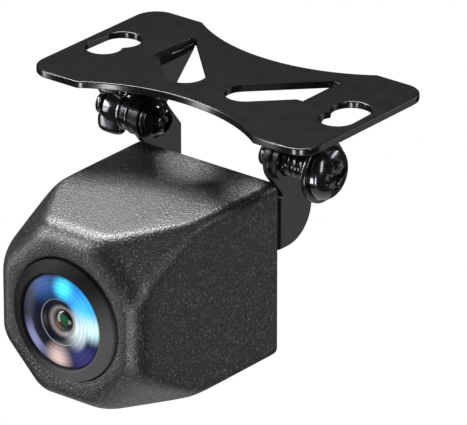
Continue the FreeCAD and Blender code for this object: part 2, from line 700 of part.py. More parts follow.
def make_front_housing():
    """The camera's shell: a box whose corner cuts widen from box_depth to the front."""
    body = new_body("front_housing", **AT_BACK)
    back = new_sketch(body, "XZ_Plane")
    block(back, "0", "0", "camera_width", "camera_height", "back_cut")
    pad(body, back, "box_depth")
    middle = new_sketch(body, "XZ_Plane", "box_depth")
    block(middle, "0", "0", "camera_width", "camera_height", "back_cut")
    front = new_sketch(body, "XZ_Plane", "camera_depth")
    block(front, "0", "0", "camera_width - 2 * front_taper",
          "camera_height - 2 * front_taper", "front_cut")
    loft(body, "PartDesign::AdditiveLoft", middle, front)

    # Every edge is rounded except the eight around the open back.
    around_back = -value("camera_depth") / 2
    rounded(body, edges_where(body.Tip.Shape, lambda e: e.BoundBox.YMin < around_back),
            "housing_radius")

    # The cavity keeps the wall all round, facets included.
    inner = ("camera_width - 2 * shell_wall", "camera_height - 2 * shell_wall",
             "recess_cut - octagon_trim * (shell_wall - rim_wall)")
    back = new_sketch(body, "XZ_Plane")
    block(back, "0", "0", *inner)
    pocket(body, back, "box_depth", reverse=True)
    middle = new_sketch(body, "XZ_Plane", "box_depth")
    block(middle, "0", "0", *inner)
    front = new_sketch(body, "XZ_Plane", "camera_depth - front_wall")
    block(front, "0", "0", "camera_width - 2 * (shell_wall + front_taper)",
          "camera_height - 2 * (shell_wall + front_taper)",
          "front_cut - octagon_trim * shell_wall")
    loft(body, "PartDesign::SubtractiveLoft", middle, front)

    # Corner bosses for the cover screws, behind which the gasket has its ledge.
    sketch = new_sketch(body, "XZ_Plane", "ledge_depth")
    for x, z in corners_at("screw_x", "screw_z"):
        block(sketch, x, z, "boss_width", "boss_width", "boss_cut")
    pad(body, sketch, "boss_depth")
    sketch = new_sketch(body, "XZ_Plane")
    block(sketch, "0", "0", "camera_width - 2 * rim_wall", "camera_height - 2 * rim_wall",
          "recess_cut")
    pocket(body, sketch, "ledge_depth", reverse=True)
    sketch = new_sketch(body, "XZ_Plane", "ledge_depth")
    for x, z in corners_at("screw_x", "screw_z"):
        circle(sketch, x, z, "cover_screw_thread")
    pocket(body, sketch, "boss_depth - blind_end", reverse=True)

    # Seat of the bezel, and the bore for the barrel behind it.
    sketch = new_sketch(body, "XZ_Plane", "camera_depth")
    circle(sketch, "0", "0", "bezel_diameter + 2 * bezel_clear")
    pocket(body, sketch, "bezel_depth + seal_thickness")
    sketch = new_sketch(body, "XZ_Plane", "bezel_seat")
    circle(sketch, "0", "0", "barrel_diameter + 2 * barrel_clear")
    pocket(body, sketch, "front_wall")
    node(body)


def make_rear_cover():
    body = new_body("rear_cover", **AT_BACK)
    sketch = new_sketch(body, "XZ_Plane")
    block(sketch, "0", "0", "2 * cover_half", "2 * cover_half_z",
          "recess_cut - octagon_trim * cover_gap")
    pad(body, sketch, "cover_thickness")
    sketch = new_sketch(body, "XZ_Plane", "cover_thickness")
    for side in ("", "-"):
        circle(sketch, "%s1 * web_screw_spacing / 2" % side, "web_screw_drop", "web_boss")
    pad(body, sketch, "web_boss_depth")
    sketch = new_sketch(body, "XZ_Plane")
    for side in ("", "-"):
        circle(sketch, "%s1 * web_screw_spacing / 2" % side, "web_screw_drop",
               "web_screw_thread")
    for x, z in corners_at("screw_x", "screw_z"):
        circle(sketch, x, z, "cover_screw_hole")
    circle(sketch, "0", "0 - inlet_drop", "inlet_neck")
    pocket(body, sketch, "cover_thickness + web_boss_depth - blind_end", reverse=True)
    sketch = new_sketch(body, "XZ_Plane")
    for x, z in corners_at("screw_x", "screw_z"):
        circle(sketch, x, z, "small_head")
    pocket(body, sketch, "small_head_height", reverse=True)
    node(body)


def make_rear_gasket():
    """A flat seal between the rear cover and the housing's ledge."""
    body = new_body("rear_gasket", **AT_BACK)
    inset = "rim_wall + gasket_inset"
    sketch = new_sketch(body, "XZ_Plane", "cover_thickness")
    block(sketch, "0", "0", "camera_width - 2 * (%s)" % inset,
          "camera_height - 2 * (%s)" % inset, "recess_cut - octagon_trim * gasket_inset")
    pad(body, sketch, "gasket_thickness")
    sketch = new_sketch(body, "XZ_Plane", "cover_thickness")
    block(sketch, "0", "0", "camera_width - 2 * shell_wall", "camera_height - 2 * shell_wall",
          "2 * cover_screw_inset - 2 * shell_wall + gasket_ear * cover_screw_hole")
    for x, z in corners_at("screw_x", "screw_z"):
        circle(sketch, x, z, "cover_screw_hole")
    pocket(body, sketch, "gasket_thickness", reverse=True)
    node(body)


def small_screw(label, thread, length, head):
    """A small screw along its own Z: the head's underside at the origin, shank above, and
    a cross recess in the head.  It points forwards."""
    shank, rim = "%s / 2 - screw_clear" % thread, "%s / 2 - head_clear" % head
    body = turned(label, [
        ("0", "0 - small_head_height"), (rim, "0 - small_head_height"), (rim, "0"),
        (shank, "0"), (shank, "%s - point_length" % length),
        ("%s - point_length" % shank, length), ("0", length)], turn=FORWARD)
    arms, across = "%s * small_cross_arms" % head, "%s * small_cross_width" % head
    for width, height in ((arms, across), (across, arms)):
        sketch = new_sketch(body, "XY_Plane", "0 - small_head_height")
        block(sketch, "0", "0", width, height)
        pocket(body, sketch, "small_head_height / 2", reverse=True)
    return body


def make_small_screws():
    """Cover screws, web screws and board screws, each kind one node."""
    cover = small_screw("cover_screw", "cover_screw_thread", "cover_screw_length",
                        "small_head")
    node(copies("cover_screws", cover, [
        (x, "0 - camera_back - small_head_height", "%s - camera_drop" % z)
        for x, z in corners_at("screw_x", "screw_z")]))
    web = small_screw("web_screw", "web_screw_thread", "web_screw_length", "web_screw_head")
    node(copies("web_screws", web, [
        ("%s1 * web_screw_spacing / 2" % side, "web_back", "0 - web_top - web_height / 2")
        for side in ("", "-")]))
    board = small_screw("board_screw", "board_screw_thread", "board_screw_length",
                        "board_screw_head")
    node(copies("board_screws", board, [
        (x, "0 - camera_back - main_back", "%s - camera_drop" % z)
        for x, z in corners_at("board_hole_x", "board_hole_z")]))


def make_cable_inlet():
    """The bore through which the lead enters, with its nut inside the cover."""
    inlet = {"y": "0 - camera_back", "z": "0 - camera_drop - inlet_drop",
             "turn": ((1, 0, 0), -90)}
    neck = "0 - cover_thickness - inlet_nut_thickness"
    node(turned("cable_inlet", [
        ("inlet_bore / 2", neck), ("inlet_neck / 2 - inlet_clear", neck),
        ("inlet_neck / 2 - inlet_clear", "0"), ("inlet_flange / 2", "0"),
        ("inlet_flange / 2", "inlet_flange_thickness"),
        ("inlet_outer / 2", "inlet_flange_thickness"),
        ("inlet_tip / 2", "inlet_flange_thickness + inlet_length"),
        ("inlet_bore / 2", "inlet_flange_thickness + inlet_length")], **inlet))

    body = new_body("inlet_nut", z="0 - camera_drop - inlet_drop", y="0 - camera_back")
    sketch = new_sketch(body, "XZ_Plane", "cover_thickness")
    outline(sketch, [("inlet_nut / 2 * cos(%d)" % angle, "inlet_nut / 2 * sin(%d)" % angle)
                     for angle in range(0, 360, 60)])
    circle(sketch, "0", "0", "inlet_neck")
    pad(body, sketch, "inlet_nut_thickness")
    node(body)


# ---------------------------------------------------------------- lens

def make_lens():
    """Bezel, barrel, glass elements, seal and filter, all turned about the lens axis."""
    bezel, barrel = "bezel_diameter / 2", "barrel_diameter / 2"
    glass, bore = "glass_diameter / 2", "barrel_diameter / 2 - barrel_wall"
    cone_top = "bezel_depth + bezel_rim + bezel_rise"
    glass_foot = "%s - glass_edge" % cone_top
    node(turned("lens_bezel", [
        (bore, "0"), (bezel, "0"), (bezel, "bezel_depth + bezel_rim"),
        ("%s + bezel_lip" % glass, cone_top), ("%s + lens_gap" % glass, cone_top),
        ("%s + lens_gap" % glass, glass_foot), (bore, glass_foot)],
        **front_along("bezel_seat")))
    sphere = "(({0}) ^ 2 + glass_crown ^ 2) / (2 * glass_crown)".format(glass)
    node(turned("front_lens", [
        ("0", "0"), (glass, "0"), (glass, "glass_edge", sphere, 1),
        ("0", "glass_edge + glass_crown")],
        **front_along("bezel_seat + %s" % glass_foot)))
    node(turned("lens_barrel", [
        (bore, "0"), (barrel, "0"), (barrel, "barrel_length"), (bore, "barrel_length")],
        **front_along("bezel_seat - barrel_length")))

    node(turned("lens_seal", [
        ("%s + seal_inset" % barrel, "0"), ("%s - seal_inset" % bezel, "0"),
        ("%s - seal_inset" % bezel, "seal_thickness"),
        ("%s + seal_inset" % barrel, "seal_thickness")],
        **front_along("bezel_seat - seal_thickness")))

    # Inside the barrel a retaining ring, three lenses and the spacers between them.
    inner = "(%s - lens_gap)" % bore
    dome = "(%s - ring_wall - lens_gap)" % inner
    curve = "({0} ^ 2 + lens_crown ^ 2) / (2 * lens_crown)".format(dome)
    barrel_end = "bezel_seat - barrel_length"
    stack = (("rear_lens", 0), ("middle_lens", 1), ("second_lens", 2))
    for label, place in stack:
        node(turned(label, [
            ("0", "0"), (inner, "0"), (inner, "lens_edge"), (dome, "lens_edge", curve, 1),
            ("0", "lens_edge + lens_crown")],
            **front_along("%s + ring_height + %d * lens_pitch" % (barrel_end, place))))
    front_foot = "bezel_seat + %s" % glass_foot
    last_edge = "%s + ring_height + 2 * lens_pitch + lens_edge" % barrel_end
    rings = (
        ("lens_retaining_ring", barrel_end, "ring_height"),
        ("rear_spacer", "%s + ring_height + lens_edge" % barrel_end, "lens_pitch - lens_edge"),
        ("middle_spacer", "%s + ring_height + lens_pitch + lens_edge" % barrel_end,
         "lens_pitch - lens_edge"),
        ("front_spacer", last_edge, "%s - (%s)" % (front_foot, last_edge)))
    for label, foot, height in rings:
        node(turned(label, [
            ("%s - ring_wall" % inner, "0"), (inner, "0"), (inner, height),
            ("%s - ring_wall" % inner, height)], **front_along(foot)))


# ---------------------------------------------------------------- electronics

def slab(label, x, z, width, height, foot, thickness):
    """A rectangular piece across the lens axis, its foot that far from the back."""
    body = new_body(label, **AT_BACK)
    sketch = new_sketch(body, "XZ_Plane", foot)
    block(sketch, x, z, width, height)
    pad(body, sketch, thickness)
    return body


def make_board(label, foot):
    """A square circuit board with notched corners and four fixing holes."""
    body = slab(label, "0", "0", "board_side", "board_side", foot, "board_thickness")
    middle = "(board_side - board_notch) / 2"
    sketch = new_sketch(body, "XZ_Plane", foot)
    for x, z in corners_at(middle, middle):
        block(sketch, x, z, "board_notch", "board_notch")
    for x, z in corners_at("board_hole_x", "board_hole_z"):
        circle(sketch, x, z, "board_hole")
    pocket(body, sketch, "board_thickness", reverse=True)
    node(body)


def make_lens_holder():
    """The foot stands on the sensor board round the sensor; the tube grips the barrel."""
    body = slab("lens_holder", "0", "0", "holder_foot_x", "holder_foot_z", "board_front",
                "holder_rise")
    sketch = new_sketch(body, "XZ_Plane", "board_front + holder_rise")
    circle(sketch, "0", "0", "holder_outer")
    pad(body, sketch, "holder_length")
    sketch = new_sketch(body, "XZ_Plane", "board_front + holder_rise")
    circle(sketch, "0", "0", "barrel_diameter + 2 * barrel_clear")
    pocket(body, sketch, "holder_length", reverse=True)
    sketch = new_sketch(body, "XZ_Plane", "board_front")
    block(sketch, "0", "0", "holder_window", "holder_window")
    pocket(body, sketch, "holder_rise", reverse=True)
    sketch = new_sketch(body, "XZ_Plane", "board_front")
    for x, z in corners_at("board_hole_x", "board_hole_z"):
        circle(sketch, x, z, "board_screw_thread")
    pocket(body, sketch, "holder_rise - blind_end", reverse=True)
    node(body)


def make_electronics():
    make_board("sensor_board", "board_back")
    make_board("main_board", "main_back")
    make_lens_holder()
    node(slab("image_sensor", "0", "0", "sensor_side", "sensor_side", "board_front",
              "sensor_thickness"))
    node(slab("infrared_filter", "0", "0", "filter_side", "filter_side", "sensor_face",
              "filter_thickness"))
    node(slab("video_processor", "0", "chip_up", "chip_side", "chip_side", "main_front",
              "chip_thickness"))
    node(slab("board_header", "0", "0 - header_drop", "header_length", "header_width",
              "main_front", "board_gap"))
    node(slab("cable_socket", "0", "socket_up", "socket_length", "socket_width",
              "main_back - socket_height", "socket_height"))
    coil = front_along("main_front")
    node(turned("power_coil", [
        ("0", "0"), ("coil_diameter / 2", "0"), ("coil_diameter / 2", "coil_height"),
        ("0", "coil_height")], x="0 - coil_side", **coil))
    spacer = turned("board_spacer", [
        ("board_hole / 2", "0"), ("spacer_diameter / 2", "0"),
        ("spacer_diameter / 2", "board_gap"), ("board_hole / 2", "board_gap")],
        turn=FORWARD)
    node(copies("board_spacers", spacer, [
        (x, "0 - camera_back - main_front", "%s - camera_drop" % z)
        for x, z in corners_at("board_hole_x", "board_hole_z")]))


STEPS = (make_mounting_plate, make_u_bracket, make_pivots, make_front_housing,
         make_rear_cover, make_rear_gasket, make_small_screws, make_cable_inlet,
         make_lens, make_electronics)

for step in STEPS:
    step()

doc.recompute()
for item in doc.Objects:
    if "Invalid" in item.State or "Error" in item.State:
        raise RuntimeError("%s did not compute: %s" % (item.Label, item.State))
for item in NODES:
    if item.Shape.isNull() or not item.Shape.isValid():
        raise RuntimeError(item.Label + " has no valid shape")

os.makedirs("parts", exist_ok=True)
for item in NODES:
    item.Shape.exportStep("parts/%s.step" % item.Label)
    print("%-22s %2d solids %9.1f mm3" % (item.Label, len(item.Shape.Solids),
                                          item.Shape.Volume))
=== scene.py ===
"""The looks of a backup camera on its bow-tie mounting plate.

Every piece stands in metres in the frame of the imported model.  Sizes and colours that a
user may change are properties; places are read from the frame.
"""

import json
import math

import bmesh
import bpy
import numpy as np
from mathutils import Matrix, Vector


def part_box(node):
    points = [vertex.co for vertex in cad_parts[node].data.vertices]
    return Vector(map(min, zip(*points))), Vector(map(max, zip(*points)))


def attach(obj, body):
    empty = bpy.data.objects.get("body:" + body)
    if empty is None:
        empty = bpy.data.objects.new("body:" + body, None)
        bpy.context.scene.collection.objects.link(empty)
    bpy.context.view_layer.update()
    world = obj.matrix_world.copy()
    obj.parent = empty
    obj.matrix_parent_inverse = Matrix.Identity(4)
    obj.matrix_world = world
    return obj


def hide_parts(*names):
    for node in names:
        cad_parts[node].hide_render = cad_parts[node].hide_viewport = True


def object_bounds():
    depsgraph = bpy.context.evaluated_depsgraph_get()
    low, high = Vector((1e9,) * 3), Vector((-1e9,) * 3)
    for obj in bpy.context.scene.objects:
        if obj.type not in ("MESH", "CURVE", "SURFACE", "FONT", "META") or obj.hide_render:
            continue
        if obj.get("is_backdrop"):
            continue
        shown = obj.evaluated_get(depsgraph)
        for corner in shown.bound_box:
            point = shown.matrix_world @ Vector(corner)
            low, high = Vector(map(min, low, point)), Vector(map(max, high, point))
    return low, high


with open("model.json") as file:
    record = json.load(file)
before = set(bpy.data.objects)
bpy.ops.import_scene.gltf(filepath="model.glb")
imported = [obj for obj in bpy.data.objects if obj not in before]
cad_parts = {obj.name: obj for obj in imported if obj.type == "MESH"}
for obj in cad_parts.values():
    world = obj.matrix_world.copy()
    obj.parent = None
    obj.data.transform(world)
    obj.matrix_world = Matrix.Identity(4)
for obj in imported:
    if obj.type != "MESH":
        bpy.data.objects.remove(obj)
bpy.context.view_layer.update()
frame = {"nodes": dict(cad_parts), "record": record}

bl_info = {
    "name": "Backup Camera",
    "version": (1, 0, 0),
    "blender": (4, 5, 0),
    "location": "View3D > Sidebar > Backup Camera",
    "description": "Builds the finish of a backup camera around its packed model",
    "category": "Add Mesh",
}

MM = 0.001
TURN = 2 * math.pi
RIGHT_ANGLE = math.pi / 2
# How much less than the radius a rounding takes off a corner cut at 45 degrees.
CORNER_TRIM = 2 - math.sqrt(2)


# ------------------------------------------------------------------ places in the frame

def low_high(node):
    """Lowest and highest corner of a node as arrays."""
    low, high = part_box(node)
    return np.array(low), np.array(high)


HOUSING_LOW, HOUSING_HIGH = low_high("front_housing")
HOUSING_MIDDLE = (HOUSING_LOW + HOUSING_HIGH) / 2
FRONT_Y, BACK_Y = HOUSING_LOW[1], HOUSING_HIGH[1]
LENS_AXIS = np.array([HOUSING_MIDDLE[0], 0.0, HOUSING_MIDDLE[2]])
PIVOT = np.array([j["pos_m"] for j in frame["record"]["behaviour"]["joints"]
                  if j["name"] == "tilt"][0])


# ------------------------------------------------------------------ sizes and colours

def length(name, about, millimetres):
    """A size property, its default given in millimetres."""
    return bpy.props.FloatProperty(name=name, description=about, default=millimetres * MM,
                                   unit="LENGTH", precision=5)


def colour(name, about, rgb):
    """A colour property."""
    return bpy.props.FloatVectorProperty(name=name, description=about, default=rgb, size=3,
                                         min=0.0, max=1.0, subtype="COLOR")


class CameraShape(bpy.types.PropertyGroup):
    box_depth: length("Box depth", "Rear part, before the corner facets widen", 17.5)
    blend_depth: length("Blend depth", "Softening where the facets begin to widen", 1.6)
    front_taper: length("Front taper", "How far each side draws in at the front", 0.2)
    back_cut: length("Back cut", "Corner cut of the housing at its back", 0.9)
    front_cut: length("Front cut", "Corner cut of the housing at its front", 7.4)
    ridge_radius: length("Ridge radius", "Rounding of the long ridges at the back", 1.5)
    front_radius: length("Front ridge radius", "Rounding of the ridges at the front", 5.0)
    edge_inset: length("Edge inset", "Rounding of the front edge, across the front", 2.3)
    edge_length: length("Edge length", "Rounding of the front edge, along the sides", 3.4)
    rim_radius: length("Rim radius", "Rounding of the rim at the back", 0.35)
    wall: length("Wall", "Housing wall", 2.0)
    rim_wall: length("Rim wall", "Housing wall around the rear cover", 1.2)
    cover_depth: length("Cover depth", "Recess for the rear cover and its seal", 2.6)
    bezel_hole: length("Bezel hole", "Radius of the hole for the bezel", 8.9)
    bezel_sunk: length("Bezel sunk", "Depth of the bezel's seat", 2.8)
    barrel_hole: length("Barrel hole", "Radius of the bore for the barrel", 6.1)
    front_wall: length("Front wall", "Thickness of the front wall", 4.4)
    lip: length("Lip", "Rounding where the bezel enters the front", 0.15)


class LensShape(bpy.types.PropertyGroup):
    glass_radius: length("Glass radius", "Clear radius of the front lens", 6.75)
    ring_radius: length("Ring radius", "Edge of the inner element", 3.3)
    pupil_radius: length("Pupil radius", "Radius of the pupil", 1.5)
    pupil_depth: length("Pupil depth", "Pupil behind the rim of the glass", 0.8)
    crown: length("Crown", "Rise of the domed outer part of the glass", 0.3)
    bezel_round: length("Bezel rounding", "Rounding of the bezel's edges", 0.18)


class FastenerShape(bpy.types.PropertyGroup):
    major: length("Thread diameter", "Pivot screws over the thread", 3.9)
    root: length("Root diameter", "Pivot screws at the root of the thread", 3.1)
    pitch: length("Pitch", "Pitch of the pivot screws", 1.1)
    head_height: length("Head height", "Height of the pivot screw heads", 2.2)
    cross_share: bpy.props.FloatProperty(
        name="Cross share", description="Arms of the cross recess over the head's width",
        default=0.6, min=0.3, max=0.9)
    cross_width: length("Cross width", "Width of the cross recess", 1.1)
    cross_depth: length("Cross depth", "Depth of the cross recess", 1.0)
    bore: length("Washer bore", "Bore of the pivot washers", 4.4)
    washer_round: length("Washer rounding", "Rounding of the washers' edges", 0.22)
    spring_round: length("Spring rounding", "Rounding of the spring washer's edges", 0.15)
    hub_neck: length("Hub neck", "Radius of the wing nut's hub above its foot", 2.2)
    hub_height: length("Hub height", "Height of the wing nut's hub", 3.4)
    wing_thickness: length("Wing thickness", "Thickness of the nut's wings", 1.5)
    sheet_edge: length("Sheet edge", "Rounding of the edges of sheet and rear cover", 0.18)


class Finish(bpy.types.PropertyGroup):
    housing: colour("Housing", "Textured black of the housing", (0.009, 0.009, 0.0094))
    speck: colour("Speck", "Light grains of the housing", (0.10, 0.10, 0.102))
    paint: colour("Paint", "Satin black of the sheet parts", (0.004, 0.004, 0.0042))
    fastener: colour("Fastener", "Black nickel of the screws", (0.045, 0.045, 0.05))
    bezel: colour("Bezel", "Satin black of the lens bezel", (0.008, 0.008, 0.008))
    rubber: colour("Rubber", "Seals and the cable inlet", (0.015, 0.015, 0.015))
    board: colour("Board", "Circuit boards", (0.01, 0.10, 0.04))


# ------------------------------------------------------------------ meshes

POLE_GAP = 1e-7                     # Points of a surface nearer than this are one.
NODE_GAP = 2e-6                     # The same for the loose triangles of a node.
FLAT_ANGLE = math.radians(0.6)      # Faces of a node that turn less than this are one.
EDGE_ANGLE = math.radians(40)       # Edges of a node that turn more than this are sharp.


def make_piece(name, vertices, faces, sharp=35.0):
    """A welded, outward-facing, smooth-shaded object from arrays."""
    mesh = bpy.data.meshes.new(name)
    mesh.from_pydata(np.asarray(vertices).tolist(), [], np.asarray(faces).tolist())
    build = bmesh.new()
    build.from_mesh(mesh)
    bmesh.ops.remove_doubles(build, verts=build.verts, dist=POLE_GAP)
    bmesh.ops.recalc_face_normals(build, faces=build.faces)
    build.to_mesh(mesh)
    build.free()
    mesh.polygons.foreach_set("use_smooth", np.ones(len(mesh.polygons), dtype=bool))
    mesh.set_sharp_from_angle(angle=math.radians(sharp))
    piece = bpy.data.objects.new(name, mesh)
    bpy.context.scene.collection.objects.link(piece)
    return piece


def grid_faces(rows, columns, wrap_rows=False):
    """Quads of a grid of points that closes round in its columns."""
    row = np.arange(rows if wrap_rows else rows - 1)
    r, c = np.meshgrid(row, np.arange(columns), indexing="ij")
    r2, c2 = (r + 1) % rows, (c + 1) % columns
    corners = np.stack([r * columns + c, r * columns + c2, r2 * columns + c2,
                        r2 * columns + c], axis=-1)
    return corners.reshape(-1, 4)


def surface(name, points, wrap_rows=False, sharp=35.0):
    """A piece from a (rows, columns, 3) grid of points."""
    rows, columns = points.shape[:2]
    return make_piece(name, points.reshape(-1, 3), grid_faces(rows, columns, wrap_rows),
                      sharp)


def turned_points(profile, origin, along, steps=96):
    """The grid swept by (radius, height) profile points round an axis through origin:
    origin + height * along + radius * (cos * side + sin * up)."""
    profile = np.asarray(profile, dtype=float)
    along = np.asarray(along, dtype=float)
    side = np.cross(along, (0.0, 0.0, 1.0))
    side /= np.linalg.norm(side)
    up = np.cross(side, along)
    angle = np.linspace(0, TURN, steps, endpoint=False)
    ring = np.cos(angle)[:, None] * side + np.sin(angle)[:, None] * up
    return (np.asarray(origin) + profile[:, None, 1:2] * along
            + profile[:, None, 0:1] * ring[None])


def arc(centre, radius, start, stop, steps=6):
    """Profile points on a circle, from one angle in degrees to another."""
    angle = np.radians(np.linspace(start, stop, steps + 1))
    return np.stack([centre[0] + radius * np.cos(angle),
                     centre[1] + radius * np.sin(angle)], axis=1)


def softened(node, name, width, calm=(0.0, 0.0)):
    """A copy of a node with its sharp edges rounded, which then stands for the node.
    Edges within calm = (x, y) of the origin stay sharp."""
    mesh = frame["nodes"][node].data.copy()
    build = bmesh.new()
    build.from_mesh(mesh)
    bmesh.ops.remove_doubles(build, verts=build.verts, dist=NODE_GAP)
    bmesh.ops.dissolve_limit(build, angle_limit=FLAT_ANGLE, verts=build.verts,
                             edges=build.edges)
    weight = build.edges.layers.float.new("bevel_weight_edge")
    for edge in build.edges:
        x, y, _ = (edge.verts[0].co + edge.verts[1].co) / 2
        apart = abs(x) >= calm[0] or abs(y) >= calm[1]
        edge[weight] = float(apart and edge.calc_face_angle(0.0) > EDGE_ANGLE)
    build.to_mesh(mesh)
    build.free()
    mesh.polygons.foreach_set("use_smooth", np.ones(len(mesh.polygons), dtype=bool))
    mesh.set_sharp_from_angle(angle=EDGE_ANGLE)
    mesh.materials.clear()
    piece = bpy.data.objects.new(name, mesh)
    bpy.context.scene.collection.objects.link(piece)
    bevel = piece.modifiers.new("Rounded edges", "BEVEL")
    bevel.width = width
    bevel.segments = 3
    bevel.limit_method = "WEIGHT"
    bevel.use_clamp_overlap = False
    bevel.harden_normals = True
    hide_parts(node)
    return piece


def place(piece, body, finish):
    """Set a piece on its body and give it the named material."""
    piece.data.materials.clear()
    piece.data.materials.append(material(finish))
    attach(piece, body)


def body_holding(node):
    """Name of the body that a node belongs to."""
    bodies = frame["record"]["behaviour"]["bodies"]
    return [body for body, nodes in bodies.items() if node in nodes][0]


# ------------------------------------------------------------------ materials

class Recipe:
    """A node material.  Patterns read Object coordinates, in metres."""

    def __init__(self, name, rgb, roughness, metallic=0.0, specular=0.5, coat=0.0):
        self.material = bpy.data.materials.new(name)
        self.material.use_nodes = True
        self.tree = self.material.node_tree
        self.shader = self.tree.nodes["Principled BSDF"]
        self.place = self.tree.nodes.new("ShaderNodeTexCoord").outputs["Object"]
        self.shader.inputs["Base Color"].default_value = (*rgb, 1.0)
        self.shader.inputs["Roughness"].default_value = roughness
        self.shader.inputs["Metallic"].default_value = metallic
        self.shader.inputs["Specular IOR Level"].default_value = specular
        self.shader.inputs["Coat Weight"].default_value = coat

    def node(self, kind, settings=(), **inputs):
        """Add a node; inputs are values or sockets, by name with _ for a space."""
        item = self.tree.nodes.new(kind)
        for key, setting in dict(settings).items():
            setattr(item, key, setting)
        for key, source in inputs.items():
            self.feed(item.inputs[key.replace("_", " ")], source)
        return item

    def feed(self, socket, source):
        """Link a socket, or write a value, to an input."""
        if isinstance(source, bpy.types.NodeSocket):
            self.tree.links.new(source, socket)
        else:
            socket.default_value = source

    def noise(self, scale, detail=2.0, rough=0.5):
        """Noise, 0 to 1, with scale features in a metre."""
        return self.node("ShaderNodeTexNoise", Vector=self.place, Scale=scale,
                         Detail=detail, Roughness=rough).outputs["Fac"]

    def math(self, operation, first, second=0.0):
        """The result of one of the Math node's operations."""
        item = self.node("ShaderNodeMath", {"operation": operation})
        self.feed(item.inputs[0], first)
        self.feed(item.inputs[1], second)
        return item.outputs["Value"]

    def distance(self, x, z):
        """The square root of x * x + z * z."""
        squares = self.math("ADD", self.math("MULTIPLY", x, x), self.math("MULTIPLY", z, z))
        return self.math("SQRT", squares)

    def span(self, source, low, high, to_low=0.0, to_high=1.0):
        """A value mapped smoothly from one span to another, and held at its ends."""
        item = self.node("ShaderNodeMapRange", {"interpolation_type": "SMOOTHSTEP"})
        for key, number in (("Value", source), ("From Min", low), ("From Max", high),
                            ("To Min", to_low), ("To Max", to_high)):
            self.feed(item.inputs[key], number)
        return item.outputs["Result"]

    def mix(self, factor, first, second):
        """A colour between two, each a colour socket or an rgb tuple."""
        item = self.node("ShaderNodeMix", {"data_type": "RGBA"})
        self.feed(item.inputs[0], factor)
        for socket, source in ((item.inputs[6], first), (item.inputs[7], second)):
            self.feed(socket, (*source, 1.0) if isinstance(source, tuple) else source)
        return item.outputs[2]

    def set(self, name, source):
        """Give a value or a socket to an input of the shader."""
        self.feed(self.shader.inputs[name], source)

    def bump(self, height, distance, strength=1.0):
        """Relief of the surface, distance metres for one of height."""
        item = self.node("ShaderNodeBump", Height=height, Distance=distance,
                         Strength=strength)
        self.set("Normal", item.outputs["Normal"])

    def around_lens(self):
        """Sockets of the place across the lens axis: x, z and radius."""
        shift = self.node("ShaderNodeVectorMath", {"operation": "SUBTRACT"})
        self.feed(shift.inputs[0], self.place)
        shift.inputs[1].default_value = tuple(LENS_AXIS)
        parts = self.node("ShaderNodeSeparateXYZ", Vector=shift.outputs["Vector"])
        x, z = parts.outputs["X"], parts.outputs["Z"]
        return x, z, self.distance(x, z)


def shade(rgb, factor=1.0):
    """A colour made darker or lighter."""
    return tuple(factor * c for c in rgb)


MADE = {}


def material(name):
    """The named material, made on first use."""
    if name not in MADE:
        MADE[name] = RECIPES[name](bpy.context.scene.camera_finish)
    return MADE[name]


def textured_black(finish):
    """Moulded black with a sparkling grain about 0.15 mm across."""
    recipe = Recipe("textured_black", finish.housing, 0.42, specular=0.6)
    grain = recipe.noise(3300, 2.0, 0.6)
    coarse = recipe.noise(1500, 2.0, 0.5)
    patch = recipe.noise(240, 2.0, 0.5)
    base = recipe.mix(recipe.span(patch, 0.3, 0.7), shade(finish.housing, 0.85),
                      shade(finish.housing, 1.15))
    recipe.set("Base Color", recipe.mix(recipe.span(grain, 0.54, 0.72), base,
                                        shade(finish.speck)))
    recipe.set("Roughness", recipe.span(grain, 0.35, 0.65, 0.40, 0.28))
    height = recipe.math("ADD", grain, recipe.math("MULTIPLY", coarse, 0.2))
    recipe.bump(height, 0.00009)
    return recipe.material


def satin_paint(finish):
    """Satin black paint with a faint orange peel and slightly uneven gloss."""
    recipe = Recipe("satin_paint", finish.paint, 0.2, specular=0.4, coat=0.15)
    recipe.set("Coat Roughness", 0.08)
    cloud = recipe.noise(120, 3.0, 0.5)
    recipe.set("Base Color", recipe.mix(cloud, shade(finish.paint), shade(finish.paint, 1.5)))
    recipe.set("Roughness", recipe.span(recipe.noise(420, 2.0), 0.3, 0.7, 0.19, 0.205))
    recipe.bump(recipe.noise(1400, 2.0, 0.4), 0.000004, 0.3)
    return recipe.material


def black_nickel(finish):
    """Polished black plating with faint turning marks."""
    recipe = Recipe("black_nickel", finish.fastener, 0.16, metallic=0.9, coat=0.6)
    recipe.set("Coat Roughness", 0.05)
    cloud = recipe.noise(700, 3.0, 0.6)
    recipe.set("Base Color", recipe.mix(cloud, shade(finish.fastener, 0.6),
                                        shade(finish.fastener, 1.6)))
    recipe.set("Roughness", recipe.span(cloud, 0.3, 0.7, 0.12, 0.26))
    recipe.bump(recipe.noise(2600, 2.0), 0.000008, 0.4)
    return recipe.material


def bezel_black(finish):
    """Satin black ring with fine concentric turning lines and a painted highlight towards its
    lower right.
    """
    recipe = Recipe("bezel_black", finish.bezel, 0.45, specular=0.08)
    x, z, radius = recipe.around_lens()
    lines = recipe.math("SINE", recipe.math("MULTIPLY", radius, TURN / (0.22 * MM)))
    cloud = recipe.noise(900, 3.0)
    dark = recipe.mix(cloud, shade(finish.bezel, 0.6), shade(finish.bezel, 1.2))
    # Painted highlight: the ring is painted greyer towards its lower right, in place of its
    # gloss there.
    painted_highlight = recipe.span(recipe.math("SUBTRACT", x, z), -2 * MM, 10 * MM)
    recipe.set("Base Color", recipe.mix(painted_highlight, dark, shade(finish.bezel, 9)))
    recipe.set("Roughness", recipe.span(cloud, 0.3, 0.7, 0.42, 0.5))
    recipe.bump(recipe.math("ADD", lines, recipe.noise(4200)), 0.000006, 0.5)
    return recipe.material


